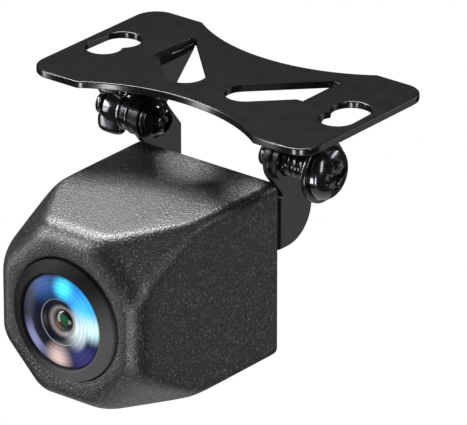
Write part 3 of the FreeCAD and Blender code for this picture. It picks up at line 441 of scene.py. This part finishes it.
def coated_glass(_finish):
    """The coated front lens: rings, and painted reflections in the coating's blue, violet and
    cream, which the glass also emits as a painted glow.
    """
    recipe = Recipe("coated_glass", (0.01, 0.012, 0.02), 0.3, specular=0.12)
    x, z, radius = recipe.around_lens()
    shape = bpy.context.scene.camera_lens
    share = recipe.math("DIVIDE", radius, shape.glass_radius)
    across = recipe.math("DIVIDE", x, shape.glass_radius)
    up = recipe.math("DIVIDE", z, shape.glass_radius)

    def lobe(to_x, to_z, reach):
        """A soft spot of painted reflection: one at its place, nothing past its reach."""
        dx = recipe.math("SUBTRACT", across, to_x)
        dz = recipe.math("SUBTRACT", up, to_z)
        return recipe.span(recipe.distance(dx, dz), 0.0, reach, 1.0, 0.0)

    def band(low, high, soft=0.04):
        """One between two shares of the glass radius."""
        return recipe.math("MULTIPLY", recipe.span(share, low - soft, low + soft),
                           recipe.span(share, high - soft, high + soft, 1.0, 0.0))

    ripple = recipe.math("SINE", recipe.math("MULTIPLY", share, TURN * 11))
    ripple = recipe.span(ripple, -1.0, 1.0, 0.86, 1.06)
    # Each painted reflection spot: place and reach, inner and outer limit of its ring,
    # colour.
    # Lengths are shares of the glass radius.
    colour_and_painted_reflections = (0.004, 0.005, 0.012)
    for to_x, to_z, reach, low, high, rgb in (
            (-0.87, 0.15, 0.55, 0.5, 1.0, (0.004, 0.006, 0.02)),
            (-0.42, 0.75, 0.60, 0.5, 1.0, (0.015, 0.06, 0.20)),
            (0.45, 0.62, 0.70, 0.45, 1.0, (0.02, 0.20, 0.58)),
            (0.65, 0.35, 0.55, 0.3, 1.0, (0.05, 0.42, 0.80)),
            (0.85, 0.06, 0.42, 0.5, 1.0, (0.50, 0.74, 0.80)),
            (0.09, 0.76, 0.36, 0.45, 1.0, (0.06, 0.66, 1.0)),
            (0.60, -0.62, 0.60, 0.5, 1.0, (0.03, 0.03, 0.12)),
            (-0.70, -0.57, 0.60, 0.74, 0.97, (0.16, 0.17, 0.32)),
            (-0.06, -0.80, 0.44, 0.45, 0.95, (0.50, 0.38, 0.36)),
            (0.45, -0.05, 0.55, 0.24, 0.72, (0.46, 0.55, 0.58)),
            (-0.38, -0.05, 0.40, 0.26, 0.48, (0.004, 0.004, 0.004))):
        spot = recipe.math("MULTIPLY", lobe(to_x, to_z, reach), band(low, high))
        colour_and_painted_reflections = recipe.mix(spot, colour_and_painted_reflections, rgb)
    colour_and_painted_reflections = recipe.mix(band(0.485, 0.5, 0.008), colour_and_painted_reflections, (0.15, 0.16, 0.17))
    colour_and_painted_reflections = recipe.mix(band(0.24, 0.33, 0.05), colour_and_painted_reflections, (0.16, 0.145, 0.14))
    rings = recipe.node("ShaderNodeVectorMath", {"operation": "SCALE"})
    recipe.feed(rings.inputs[0], colour_and_painted_reflections)
    recipe.feed(rings.inputs["Scale"], ripple)
    recipe.set("Base Color", rings.outputs["Vector"])
    # Painted glow: the glass emits the same painted reflections, though it is no lamp.
    recipe.set("Emission Color", rings.outputs["Vector"])
    recipe.set("Emission Strength", 0.4)
    return recipe.material


def pupil_glass(_finish):
    """The small innermost lens, coloured by painted reflections: dark green towards the upper
    right and a warm spot low on one side.
    """
    recipe = Recipe("pupil_glass", (0.01, 0.03, 0.02), 0.16, specular=0.4, coat=0.2)
    x, z, radius = recipe.around_lens()
    reach = bpy.context.scene.camera_lens.pupil_radius
    # Painted reflection: green towards the upper right.
    green = recipe.span(recipe.math("ADD", x, z), -0.6 * reach, 0.9 * reach)
    colour_and_painted_reflections = recipe.mix(green, (0.03, 0.02, 0.015), (0.012, 0.09, 0.045))
    # Painted reflection: a warm spot low on one side.
    warm = recipe.math("SUBTRACT", recipe.math("MULTIPLY", x, -0.7), z)
    warm = recipe.span(warm, 0.45 * reach, 0.95 * reach)
    colour_and_painted_reflections = recipe.mix(warm, colour_and_painted_reflections, (0.42, 0.18, 0.11))
    rim = recipe.span(radius, 0.6 * reach, 0.85 * reach)
    recipe.set("Base Color", recipe.mix(rim, colour_and_painted_reflections, (0.008, 0.008, 0.008)))
    return recipe.material


def rubber(finish):
    recipe = Recipe("rubber", finish.rubber, 0.7, specular=0.35)
    grain = recipe.noise(3000, 3.0, 0.6)
    recipe.set("Base Color", recipe.mix(grain, shade(finish.rubber), (0.03, 0.03, 0.03)))
    recipe.bump(grain, 0.00003, 0.5)
    return recipe.material


def plain(name, low, high, roughness, metallic=0.0, scale=900.0, relief=0.00001):
    """A recipe for the inner pieces: two close tones, uneven gloss and a fine relief."""
    def make(_finish):
        recipe = Recipe(name, low, roughness, metallic)
        cloud = recipe.noise(scale, 3.0, 0.6)
        recipe.set("Base Color", recipe.mix(cloud, low, high))
        recipe.set("Roughness", recipe.span(cloud, 0.3, 0.7, roughness * 0.85,
                                            roughness * 1.15))
        recipe.bump(recipe.noise(scale * 4, 2.0), relief, 0.5)
        return recipe.material
    return make


def circuit_board(finish):
    """Green lacquer over copper tracks, with small tinned pads."""
    recipe = Recipe("circuit_board", finish.board, 0.35, coat=0.4)
    flat = recipe.node("ShaderNodeMapping", Vector=recipe.place)
    flat.inputs["Scale"].default_value = (1.0, 0.0, 1.0)
    bricks = recipe.node("ShaderNodeTexBrick", Vector=flat.outputs["Vector"], Scale=700.0)
    tracks = recipe.span(bricks.outputs["Fac"], 0.2, 0.8)
    lacquer = recipe.mix(tracks, shade(finish.board), (0.03, 0.2, 0.08))
    cells = recipe.node("ShaderNodeTexVoronoi", Vector=flat.outputs["Vector"], Scale=520.0)
    pads = recipe.span(cells.outputs["Distance"], 0.16, 0.2, 1.0, 0.0)
    recipe.set("Base Color", recipe.mix(pads, lacquer, (0.6, 0.58, 0.5)))
    recipe.bump(recipe.math("ADD", tracks, pads), 0.00002, 0.6)
    return recipe.material


RECIPES = {
    "textured_black": textured_black,
    "satin_paint": satin_paint,
    "black_nickel": black_nickel,
    "bezel_black": bezel_black,
    "coated_glass": coated_glass,
    "pupil_glass": pupil_glass,
    "rubber": rubber,
    "circuit_board": circuit_board,
    "small_steel": plain("small_steel", (0.42, 0.42, 0.44), (0.55, 0.55, 0.57), 0.3, 1.0),
    "brass": plain("brass", (0.62, 0.45, 0.18), (0.75, 0.58, 0.27), 0.3, 1.0),
    "black_alloy": plain("black_alloy", (0.02, 0.02, 0.02), (0.035, 0.035, 0.036), 0.5,
                         0.6),
    "inner_glass": plain("inner_glass", (0.02, 0.05, 0.06), (0.03, 0.08, 0.1), 0.06, 0.0,
                         300.0, 0.000001),
    "filter_glass": plain("filter_glass", (0.12, 0.3, 0.28), (0.16, 0.36, 0.33), 0.08, 0.0,
                          300.0, 0.000001),
    "holder_plastic": plain("holder_plastic", (0.02, 0.02, 0.02), (0.035, 0.035, 0.035),
                            0.55),
    "chip_epoxy": plain("chip_epoxy", (0.015, 0.015, 0.016), (0.03, 0.03, 0.03), 0.5),
    "connector_nylon": plain("connector_nylon", (0.7, 0.67, 0.58), (0.8, 0.77, 0.68), 0.45),
    "coil_ferrite": plain("coil_ferrite", (0.06, 0.06, 0.065), (0.1, 0.1, 0.1), 0.6),
}

# Material of the nodes in each of the record's material slots.
SLOT_MATERIALS = {
    "plate_paint": "satin_paint", "bracket_paint": "satin_paint",
    "fastener_black": "black_nickel", "housing_texture": "textured_black",
    "seal_rubber": "rubber", "small_steel": "small_steel", "inlet_brass": "brass",
    "bezel_black": "bezel_black", "lens_glass": "inner_glass",
    "filter_glass": "filter_glass", "barrel_alloy": "black_alloy",
    "holder_plastic": "holder_plastic", "board_green": "circuit_board",
    "chip_black": "chip_epoxy", "connector_white": "connector_nylon",
    "coil_grey": "coil_ferrite",
}


# ------------------------------------------------------------------ housing

def octagon_ring(half_x, half_z, cut, radius, arc_steps=6, side_steps=6):
    """Rings of a rectangle with cut and rounded corners, one for each entry of the
    column arrays.  The octagon is shrunk by the radius; each of its corners is swept by
    an arc of 45 degrees, and straight sides join the arcs."""
    x, z = half_x - radius, half_z - radius
    # A facet keeps some length, so that its two arcs never share a point.
    c = np.maximum(cut - CORNER_TRIM * radius, 1e-6)
    corner_x = (x, x - c, c - x, -x, -x, c - x, x - c, x)
    corner_z = (z - c, z, z, z - c, c - z, -z, -z, c - z)
    parts, step = [], np.linspace(0, 1, arc_steps + 1)[None]
    for index in range(8):
        angle = (index + step) * math.pi / 4
        parts.append(np.stack([corner_x[index] + radius * np.cos(angle),
                               corner_z[index] + radius * np.sin(angle)], axis=-1))
    ring, share = [], np.linspace(0, 1, side_steps + 1)[None, 1:-1, None]
    for index, part in enumerate(parts):
        after = parts[(index + 1) % 8][:, :1]
        ring += [part, part[:, -1:] * (1 - share) + after * share]
    return np.concatenate(ring, axis=1)


class BACKUP_OT_housing(bpy.types.Operator):
    """Housing shell, from its back rim over the sides and the rounded front into the
    bezel's seat, through the barrel's bore and back along the cavity"""
    bl_idname = "backup.housing"
    bl_label = "Housing"

    def execute(self, context):
        shape = context.scene.camera_shape
        depth = BACK_Y - FRONT_Y
        half = (HOUSING_HIGH - HOUSING_LOW) / 2

        def rings(at, inset):
            """Rings at a depth from the back, moved in by inset.  The share of the corner
            facets is half of past + sqrt(past ** 2 + soft ** 2): none along the box and
            growing evenly to the front."""
            at, inset = np.asarray(at)[:, None], np.asarray(inset)[:, None]
            past, soft = at - shape.box_depth, shape.blend_depth
            share = (past + np.sqrt(past ** 2 + soft ** 2)) / 2
            share = share / (depth - shape.box_depth)
            corner = shape.ridge_radius + (shape.front_radius - shape.ridge_radius) * share
            corner = np.maximum(corner - inset, 0.2 * MM)
            half_x = half[0] - shape.front_taper * share - inset
            half_z = half[2] - shape.front_taper * share - inset
            cut = shape.back_cut + (shape.front_cut - shape.back_cut) * share
            ring = octagon_ring(half_x, half_z, cut - CORNER_TRIM * inset, corner)
            return ring, np.broadcast_to(at, ring.shape[:2])

        quarter = np.linspace(0, RIGHT_ANGLE, 5)[:-1]
        rim = rings(shape.rim_radius * (1 - np.sin(quarter)),
                    shape.rim_radius * (1 - np.cos(RIGHT_ANGLE - quarter)))
        side = rings(np.linspace(shape.rim_radius, depth - shape.edge_length, 40),
                     np.zeros(40))
        bend = np.linspace(0, RIGHT_ANGLE, 13)[1:]
        front = rings(depth - shape.edge_length * (1 - np.sin(bend)),
                      shape.edge_inset * (1 - np.cos(bend)))
        # The front edge turns into circles: the lip, the bezel's seat and the bore.
        last = front[0][-1]
        angle = np.arctan2(last[:, 1], last[:, 0])
        lip = np.linspace(0, RIGHT_ANGLE, 4)
        radii = [shape.bezel_hole + shape.lip * (1 - math.sin(a)) for a in lip]
        depths = [depth - shape.lip * (1 - math.cos(a)) for a in lip]
        radii += [shape.bezel_hole, shape.barrel_hole, shape.barrel_hole]
        depths += [depth - shape.bezel_sunk, depth - shape.bezel_sunk,
                   depth - shape.front_wall]
        circles = (np.array(radii)[:, None, None]
                   * np.stack([np.cos(angle), np.sin(angle)], axis=-1)[None])
        circle_at = np.broadcast_to(np.array(depths)[:, None], circles.shape[:2])
        cavity = rings(np.linspace(depth - shape.front_wall, shape.cover_depth, 12),
                       np.full(12, shape.wall))
        recess = rings([shape.cover_depth, 0.0], [shape.rim_wall] * 2)
        ring = np.concatenate([rim[0], side[0], front[0], circles, cavity[0], recess[0]])
        at = np.concatenate([rim[1], side[1], front[1], circle_at, cavity[1], recess[1]])
        points = np.stack([ring[..., 0] + LENS_AXIS[0], BACK_Y - at,
                           ring[..., 1] + LENS_AXIS[2]], axis=-1)
        shell = surface("housing_shell", points, wrap_rows=True, sharp=50)
        place(shell, "camera", "textured_black")
        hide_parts("front_housing")
        return {"FINISHED"}


# ------------------------------------------------------------------ lens

class BACKUP_OT_lens(bpy.types.Operator):
    """Bezel ring, coated front lens with its stepped rings, and the pupil: profiles
    turned about the lens axis"""
    bl_idname = "backup.lens"
    bl_label = "Lens"

    def execute(self, context):
        shape = context.scene.camera_lens
        low, high = low_high("lens_bezel")
        outer, seat, top = (high[0] - low[0]) / 2, high[1], low[1]
        forward = (0.0, -1.0, 0.0)
        origin = LENS_AXIS + (0, seat, 0)
        tall, soft, glass = seat - top, shape.bezel_round, shape.glass_radius
        # The bezel's cone rises from its outer edge to the rim about the glass.
        edge, rim = tall - 0.8 * MM, tall - 0.2 * MM
        bezel = np.concatenate([
            [(glass + 0.1 * MM, 0.0), (outer, 0.0)],
            arc((outer - soft, edge - soft), soft, 0, 62),
            arc((glass + 0.35 * MM, rim - soft + 0.18 * MM), soft, 70, 180),
            [(glass + 0.06 * MM, rim - 0.6 * MM)]])
        piece = surface("bezel_ring", turned_points(bezel, origin, forward, 144), True)
        place(piece, "camera", "bezel_black")
        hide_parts("lens_bezel")

        ring, pupil, deep = shape.ring_radius, shape.pupil_radius, shape.pupil_depth
        sole, floor = rim - 2.4 * MM, rim - deep - 0.1 * MM
        r = np.linspace(glass, ring + 0.1 * MM, 26)
        share = (glass - r) / (glass - ring)
        dome = np.stack([r, rim - 0.25 * MM + shape.crown * np.sin(share * 2.4)], axis=1)
        lip = dome[-1, 1]
        # Steps down from the inner element to the pupil.
        funnel = np.array([
            (ring, lip - 0.08 * MM), (ring - 0.1 * MM, lip - 0.1 * MM),
            (ring - 0.5 * MM, rim - 0.45 * deep), (ring - 0.9 * MM, rim - 0.6 * deep),
            (ring - 1.1 * MM, rim - 0.62 * deep), (pupil + 0.1 * MM, rim - deep),
            (pupil, floor)])
        profile = np.concatenate([[(0.0, sole), (glass, sole)], dome, funnel,
                                  [(0.0, floor)]])
        piece = surface("front_glass", turned_points(profile, origin, forward, 144),
                        sharp=60)
        place(piece, "camera", "coated_glass")
        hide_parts("front_lens")

        angle = np.linspace(0, RIGHT_ANGLE, 12)
        bead = np.stack([pupil * np.cos(angle), rim - deep + 0.5 * MM * np.sin(angle)],
                        axis=1)
        bead = np.concatenate([[(0.0, floor), (pupil, floor)], bead])
        piece = surface("pupil_bead", turned_points(bead, origin, forward, 72), sharp=60)
        place(piece, "camera", "pupil_glass")
        return {"FINISHED"}


# ------------------------------------------------------------------ fasteners

def screw_grid(radius, top, shape, steps=48, rows_per_turn=10):
    """A helical thread from 0 up to top: the radius swings between root and crest with
    the height less the share of a turn, and runs out to the root at the tip."""
    rows = int(top / shape.pitch * rows_per_turn)
    height = np.linspace(0.0, top, rows)[:, None]
    angle = np.linspace(0, TURN, steps, endpoint=False)[None]
    phase = (height / shape.pitch - angle / TURN) % 1.0
    # Flat crests, sloping flanks and flat roots, a turn apart.
    crest = np.clip(1.35 - np.abs(phase - 0.5) * 4.2, 0.0, 1.0)
    fade = np.clip(height / shape.pitch, 0.0, 1.0)
    root = shape.root / 2
    swept = root + (radius - root) * crest * fade
    return swept, np.broadcast_to(height, swept.shape), angle[0]


def pivot_screw(name, node, head_share, shape):
    """A pan-head screw along X: helical shank, domed head and a cross recess pressed into
    it as a smooth-edged height field.  The head's flange keeps the solid's radius and the
    dome has head_share of it, falling off as (1 - share ** 2.6) ** 0.62."""
    low, high = low_high(node)
    flange, tall = (high[2] - low[2]) / 2, shape.head_height
    shank = high[0] - low[0] - tall
    head = flange * head_share
    swept, height, ring = screw_grid(shape.major / 2, shank, shape)
    columns = len(ring)

    def circles(*rows):
        """Radius and height of whole rows, from one (radius, height) for each."""
        radius, at = np.array(rows).T[..., None]
        return radius * np.ones(columns), at * np.ones(columns)

    tip = circles((0.0, 0.0), (shape.root / 2 - 0.4 * MM, 0.0))
    soft, base = 0.12 * MM, shank + 0.3 * tall
    under = circles((shape.major / 2, shank), (flange - soft, shank),
                    (flange, shank + soft), (flange, shank + 0.12 * tall),
                    (head + 0.1 * MM, shank + 0.2 * tall), (head, base))

    # The dome, with the cross pressed in.
    share = np.linspace(1, 0, 40)[1:, None]
    dome_r = head * share * np.ones(columns)
    dome_h = (base + 0.7 * tall * (1 - share ** 2.6) ** 0.62) * np.ones(columns)
    x, y = dome_r * np.cos(ring), dome_r * np.sin(ring)

    def inside(value, limit, blur=0.09 * MM):
        return np.clip((limit - np.abs(value)) / blur + 0.5, 0.0, 1.0)

    arm, wide = shape.cross_share * head, shape.cross_width / 2
    cross = np.maximum(inside(x, arm) * inside(y, wide), inside(x, wide) * inside(y, arm))
    floor = shape.cross_depth * (1.0 - 0.45 * dome_r / arm)
    dome_h = dome_h - cross * np.clip(floor, 0.0, None)

    radius = np.concatenate([tip[0], swept[1:], under[0], dome_r])
    at = np.concatenate([tip[1], height[1:], under[1], dome_h])
    points = np.stack([low[0] + at, PIVOT[1] + radius * np.cos(ring),
                       PIVOT[2] + radius * np.sin(ring)], axis=-1)
    piece = surface(name, points, sharp=42)
    place(piece, body_holding(node), "black_nickel")
    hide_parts(node)


class BACKUP_OT_pivot_screws(bpy.types.Operator):
    """The two pivot screws with helical threads and cross-recessed heads"""
    bl_idname = "backup.pivot_screws"
    bl_label = "Pivot screws"

    def execute(self, context):
        shape = context.scene.camera_fasteners
        pivot_screw("right_pivot_screw", "right_screw", 1.0, shape)
        pivot_screw("left_pivot_screw", "left_screw", 0.8, shape)
        return {"FINISHED"}


class BACKUP_OT_washers(bpy.types.Operator):
    """Flat washers with rounded edges, turned about the pivot, and the spring washer
    with its edges softened"""
    bl_idname = "backup.washers"
    bl_label = "Washers"

    def execute(self, context):
        shape = context.scene.camera_fasteners
        soft, bore = shape.washer_round, shape.bore / 2
        for node in ("right_washer", "left_inner_washer", "left_outer_washer"):
            low, high = low_high(node)
            outer, tall = (high[2] - low[2]) / 2, high[0] - low[0]
            profile = np.concatenate([
                [(bore, 0.0), (outer - soft, 0.0)], arc((outer - soft, soft), soft, -90, 0),
                arc((outer - soft, tall - soft), soft, 0, 90),
                arc((bore + soft, tall - soft), soft, 90, 180)])
            origin = (low[0], PIVOT[1], PIVOT[2])
            piece = surface(node + "_ring", turned_points(profile, origin, (1, 0, 0)), True)
            place(piece, body_holding(node), "black_nickel")
            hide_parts(node)
        piece = softened("left_spring_washer", "left_spring_ring", shape.spring_round)
        place(piece, "left_clamp", "black_nickel")
        return {"FINISHED"}


class BACKUP_OT_wing_nut(bpy.types.Operator):
    """Wing nut: a hub with a wide foot, turned about the pivot, and two wings, each a
    superellipsoid lobe that is thick at the hub and thin at its rim"""
    bl_idname = "backup.wing_nut"
    bl_label = "Wing nut"

    def execute(self, context):
        shape = context.scene.camera_fasteners
        low, high = low_high("wing_nut")
        foot, tip = high[0], low[0]
        reach = (high[2] - low[2]) / 2
        hub, tall = (high[1] - low[1]) / 2, shape.hub_height
        bore, neck = 2.05 * MM, shape.hub_neck
        round_foot, round_top = 0.3 * MM, 0.1 * MM
        profile = np.concatenate([
            [(bore, 0.0)], arc((hub - round_foot, round_foot), round_foot, -90, 0),
            [(hub - 0.1 * MM, 0.7 * MM), (neck + 0.2 * MM, 0.9 * MM), (neck, 1.2 * MM)],
            arc((neck - round_top, tall - round_top), round_top, 0, 90), [(bore, tall)]])
        origin = (foot, PIVOT[1], PIVOT[2])
        piece = surface("wing_nut_hub", turned_points(profile, origin, (-1, 0, 0)), True)
        place(piece, "wing_nut", "black_nickel")
        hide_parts("wing_nut")

        u = np.linspace(0, TURN, 64, endpoint=False)[None]
        v = np.linspace(-RIGHT_ANGLE, RIGHT_ANGLE, 33)[:, None]

        def power(value, exponent):
            """The value raised with its sign kept: under 1 the round grows square."""
            return np.sign(value) * np.abs(value) ** exponent

        inner = foot_gap = 1.2 * MM
        wide, rise = (foot - tip - foot_gap) / 2, (reach - inner) / 2
        shrink = power(np.cos(v), 0.55)
        x = tip + wide + wide * shrink * power(np.cos(u), 0.62)
        y = PIVOT[1] + shape.wing_thickness / 2 * power(np.sin(v), 0.7) * np.ones_like(u)
        for number, way in enumerate((1, -1), start=1):
            out = inner + rise * (1 + shrink * power(np.sin(u), 0.62))
            points = np.stack([x, y, PIVOT[2] + way * out], axis=-1)
            wing = surface("wing_%d" % number, points, sharp=80)
            place(wing, "wing_nut", "black_nickel")
        return {"FINISHED"}


class BACKUP_OT_sheet_parts(bpy.types.Operator):
    """Mounting plate, U-bracket and rear cover with the soft edges of punched and moulded
    parts"""
    bl_idname = "backup.sheet_parts"
    bl_label = "Sheet parts"

    def execute(self, context):
        edge = context.scene.camera_fasteners.sheet_edge
        # The acute corners of the plate's slots stay sharp.
        slots, none = (15.5 * MM, 8.5 * MM), (0.0, 0.0)
        for node, name, slot, finish, calm in (
                ("mounting_plate", "bow_tie_plate", "plate_paint", "satin_paint", slots),
                ("u_bracket", "tilt_bracket", "bracket_paint", "satin_paint", none),
                ("rear_cover", "back_cover", "housing_texture", "textured_black", none)):
            piece = softened(node, name, edge, calm)
            place(piece, body_holding(node), finish)
        return {"FINISHED"}


class BACKUP_OT_cable_inlet(bpy.types.Operator):
    """Cable inlet: a flange and a tapered boot whose radius dips at each of its ribs"""
    bl_idname = "backup.cable_inlet"
    bl_label = "Cable inlet"

    def execute(self, context):
        low, high = low_high("cable_inlet")
        tall = high[1] - low[1]
        flange = (high[0] - low[0]) / 2
        # Sole: where the flange meets the rear cover; boot: where the ribs begin.
        bore, neck, sole = 2.0 * MM, 2.75 * MM, BACK_Y - low[1]
        boot = sole + 1.4 * MM
        share = np.linspace(0, 1, 49)
        dip = 0.18 * MM * (1 - np.cos(share * TURN * 5)) / 2
        boot_rows = np.stack([3.2 * MM - 0.6 * MM * share - dip,
                              boot + (tall - boot - 0.2 * MM) * share], axis=1)
        profile = np.concatenate([
            [(bore, 0.0), (neck, 0.0), (neck, sole)],
            arc((flange - 0.3 * MM, sole + 0.3 * MM), 0.3 * MM, -90, 0),
            arc((flange - 0.5 * MM, boot - 0.5 * MM), 0.5 * MM, 0, 90), boot_rows,
            [(bore + 0.4 * MM, tall), (bore + 0.1 * MM, tall), (bore, tall - 0.1 * MM)]])
        middle = (low + high) / 2
        origin = (middle[0], low[1], middle[2])
        piece = surface("inlet_boot", turned_points(profile, origin, (0, 1, 0)), True, 50)
        place(piece, "camera", "rubber")
        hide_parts("cable_inlet")
        return {"FINISHED"}


class BACKUP_OT_inner_parts(bpy.types.Operator):
    """Materials of the nodes, most of which keep their own shape"""
    bl_idname = "backup.inner_parts"
    bl_label = "Inner parts"

    def execute(self, context):
        for part in frame["record"]["subparts"]:
            node = frame["nodes"][part["node"]]
            finish = material(SLOT_MATERIALS[part["material_slot"]])
            node.data.materials.clear()
            node.data.materials.append(finish)
        return {"FINISHED"}


# ------------------------------------------------------------------ stage

# Name, width and height in metres, watts and place of each lamp.
LAMPS = (
    ("top_key", (0.26, 0.26), 6.6, (-0.26, 0.22, 0.49)),
    ("left_soft", (0.16, 0.30), 2.2, (-0.40, -0.34, 0.16)),
    ("low_left", (0.12, 0.26), 0.7, (-0.42, -0.36, -0.14)),
    ("low_front", (0.08, 0.20), 0.9, (0.08, -0.52, -0.20)),
    ("right_strip", (0.05, 0.30), 0.8, (0.42, -0.10, 0.16)),
    ("low_side", (0.07, 0.24), 1.0, (0.34, -0.40, -0.20)),
    ("edge_light", (0.16, 0.16), 2.2, (-0.36, -0.26, 0.42)),
    ("low_right", (0.30, 0.30), 0.16, (0.36, 0.40, -0.24)),
    ("back_rim", (0.34, 0.08), 0.7, (0.30, 0.40, 0.16)),
)


def add_facing(name, data, spot, way):
    """Put a lamp or camera at spot, facing way."""
    item = bpy.data.objects.new(name, data)
    item.location = spot
    item.rotation_mode = "QUATERNION"
    item.rotation_quaternion = Vector(way).to_track_quat("-Z", "Y")
    bpy.context.scene.collection.objects.link(item)
    return item


def lamp(name, size, watts, spot, target):
    """A soft white area lamp at spot, facing target."""
    data = bpy.data.lights.new(name, "AREA")
    data.shape, data.size, data.size_y = "RECTANGLE", size[0], size[1]
    data.energy = watts
    add_facing(name, data, spot, np.array(target) - np.array(spot))


def pale(name, seen, lit):
    """A backdrop: lit is its own colour, which takes the object's shadow, and seen is the
    share of plain white that the camera sees in place of it."""
    made = bpy.data.materials.new(name)
    made.use_nodes = True
    tree = made.node_tree
    shader = tree.nodes["Principled BSDF"]
    shader.inputs["Base Color"].default_value = (lit, lit, lit, 1.0)
    shader.inputs["Roughness"].default_value = 0.9
    glow = tree.nodes.new("ShaderNodeEmission")
    glow.inputs["Strength"].default_value = 1.0
    path = tree.nodes.new("ShaderNodeLightPath")
    share = tree.nodes.new("ShaderNodeMath")
    share.operation = "MULTIPLY"
    share.inputs[1].default_value = seen
    tree.links.new(path.outputs["Is Camera Ray"], share.inputs[0])
    blend = tree.nodes.new("ShaderNodeMixShader")
    tree.links.new(share.outputs["Value"], blend.inputs["Fac"])
    tree.links.new(shader.outputs["BSDF"], blend.inputs[1])
    tree.links.new(glow.outputs["Emission"], blend.inputs[2])
    tree.links.new(blend.outputs["Shader"], tree.nodes["Material Output"].inputs["Surface"])
    return made


class StageSet(bpy.types.PropertyGroup):
    azimuth: bpy.props.FloatProperty(
        name="Azimuth", description="Camera's turn from the front", unit="ROTATION",
        default=math.radians(38.5))
    elevation: bpy.props.FloatProperty(
        name="Elevation", description="Camera above the horizon", unit="ROTATION",
        default=math.radians(23.9))
    distance: length("Distance", "Camera from the object", 850.0)
    frame_width: length("Frame width", "Width that the camera sees at the object", 63.98)
    aim_right: length("Aim right", "Aim to the right of the plate's middle", 0.9)
    aim_down: length("Aim down", "Aim below the plate's middle", 18.4)
    floor_drop: length("Floor drop", "Floor below the object", 600.0)
    floor_size: length("Floor size", "Width and depth of the floor", 1000.0)


class BACKUP_OT_stage(bpy.types.Operator):
    """Pale floor and surround, soft lamps and the camera"""
    bl_idname = "backup.stage"
    bl_label = "Stage"

    def execute(self, context):
        setup = context.scene.camera_stage
        low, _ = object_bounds()
        floor_z = low[2] - setup.floor_drop
        half = setup.floor_size / 2
        corners = [(-half, -half, floor_z), (half, -half, floor_z), (half, half, floor_z),
                   (-half, half, floor_z)]
        floor = make_piece("studio_floor", corners, [(0, 1, 2, 3)])
        floor.data.materials.append(pale("floor_white", seen=0.85, lit=0.8))
        floor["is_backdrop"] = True

        world = bpy.data.worlds.new("studio")
        context.scene.world = world
        world.use_nodes = True
        tree = world.node_tree
        base = tree.nodes["Background"]
        base.inputs["Color"].default_value = (1.0, 1.0, 1.0, 1.0)
        # The camera sees plain white; the object takes a faint share of its light.
        path = tree.nodes.new("ShaderNodeLightPath")
        strength = tree.nodes.new("ShaderNodeMapRange")
        strength.inputs["To Min"].default_value = 0.03
        strength.inputs["To Max"].default_value = 1.0
        tree.links.new(path.outputs["Is Camera Ray"], strength.inputs["Value"])
        tree.links.new(strength.outputs["Result"], base.inputs["Strength"])

        for name, size, watts, spot in LAMPS:
            lamp(name, size, watts, spot, HOUSING_MIDDLE)

        turn, rise = setup.azimuth, setup.elevation
        right = np.array([math.cos(turn), math.sin(turn), 0.0])
        up = np.array([-math.sin(turn) * math.sin(rise), math.cos(turn) * math.sin(rise),
                       math.cos(rise)])
        back = np.cross(right, up)
        aim = right * setup.aim_right - up * setup.aim_down
        data = bpy.data.cameras.new("studio_camera")
        data.sensor_width = 36.0
        data.lens = data.sensor_width * setup.distance / setup.frame_width
        data.clip_start, data.clip_end = 0.05, 50.0
        context.scene.camera = add_facing("studio_camera", data,
                                          aim + back * setup.distance, -back)
        context.scene.view_settings.view_transform = "Standard"
        return {"FINISHED"}


# ------------------------------------------------------------------ add-on

OPERATORS = (BACKUP_OT_inner_parts, BACKUP_OT_housing, BACKUP_OT_lens,
             BACKUP_OT_sheet_parts, BACKUP_OT_pivot_screws, BACKUP_OT_washers,
             BACKUP_OT_wing_nut, BACKUP_OT_cable_inlet, BACKUP_OT_stage)
GROUPS = {"camera_shape": CameraShape, "camera_lens": LensShape,
          "camera_fasteners": FastenerShape, "camera_finish": Finish,
          "camera_stage": StageSet}


class BACKUP_PT_panel(bpy.types.Panel):
    """Lists the pieces of the backup camera"""
    bl_idname = "BACKUP_PT_panel"
    bl_label = "Backup Camera"
    bl_space_type = "VIEW_3D"
    bl_region_type = "UI"
    bl_category = "Backup Camera"

    def draw(self, context):
        for group in GROUPS:
            for name in getattr(context.scene, group).__annotations__:
                self.layout.prop(getattr(context.scene, group), name)
        for operator in OPERATORS:
            self.layout.operator(operator.bl_idname)


def register():
    for item in (*GROUPS.values(), *OPERATORS, BACKUP_PT_panel):
        bpy.utils.register_class(item)
    for name, group in GROUPS.items():
        setattr(bpy.types.Scene, name, bpy.props.PointerProperty(type=group))


def unregister():
    for name in GROUPS:
        delattr(bpy.types.Scene, name)
    for item in reversed((*GROUPS.values(), *OPERATORS, BACKUP_PT_panel)):
        bpy.utils.unregister_class(item)


def main():
    register()
    for operator in OPERATORS:
        category, name = operator.bl_idname.split(".")
        getattr(getattr(bpy.ops, category), name)()


if __name__ == "__main__":
    main()
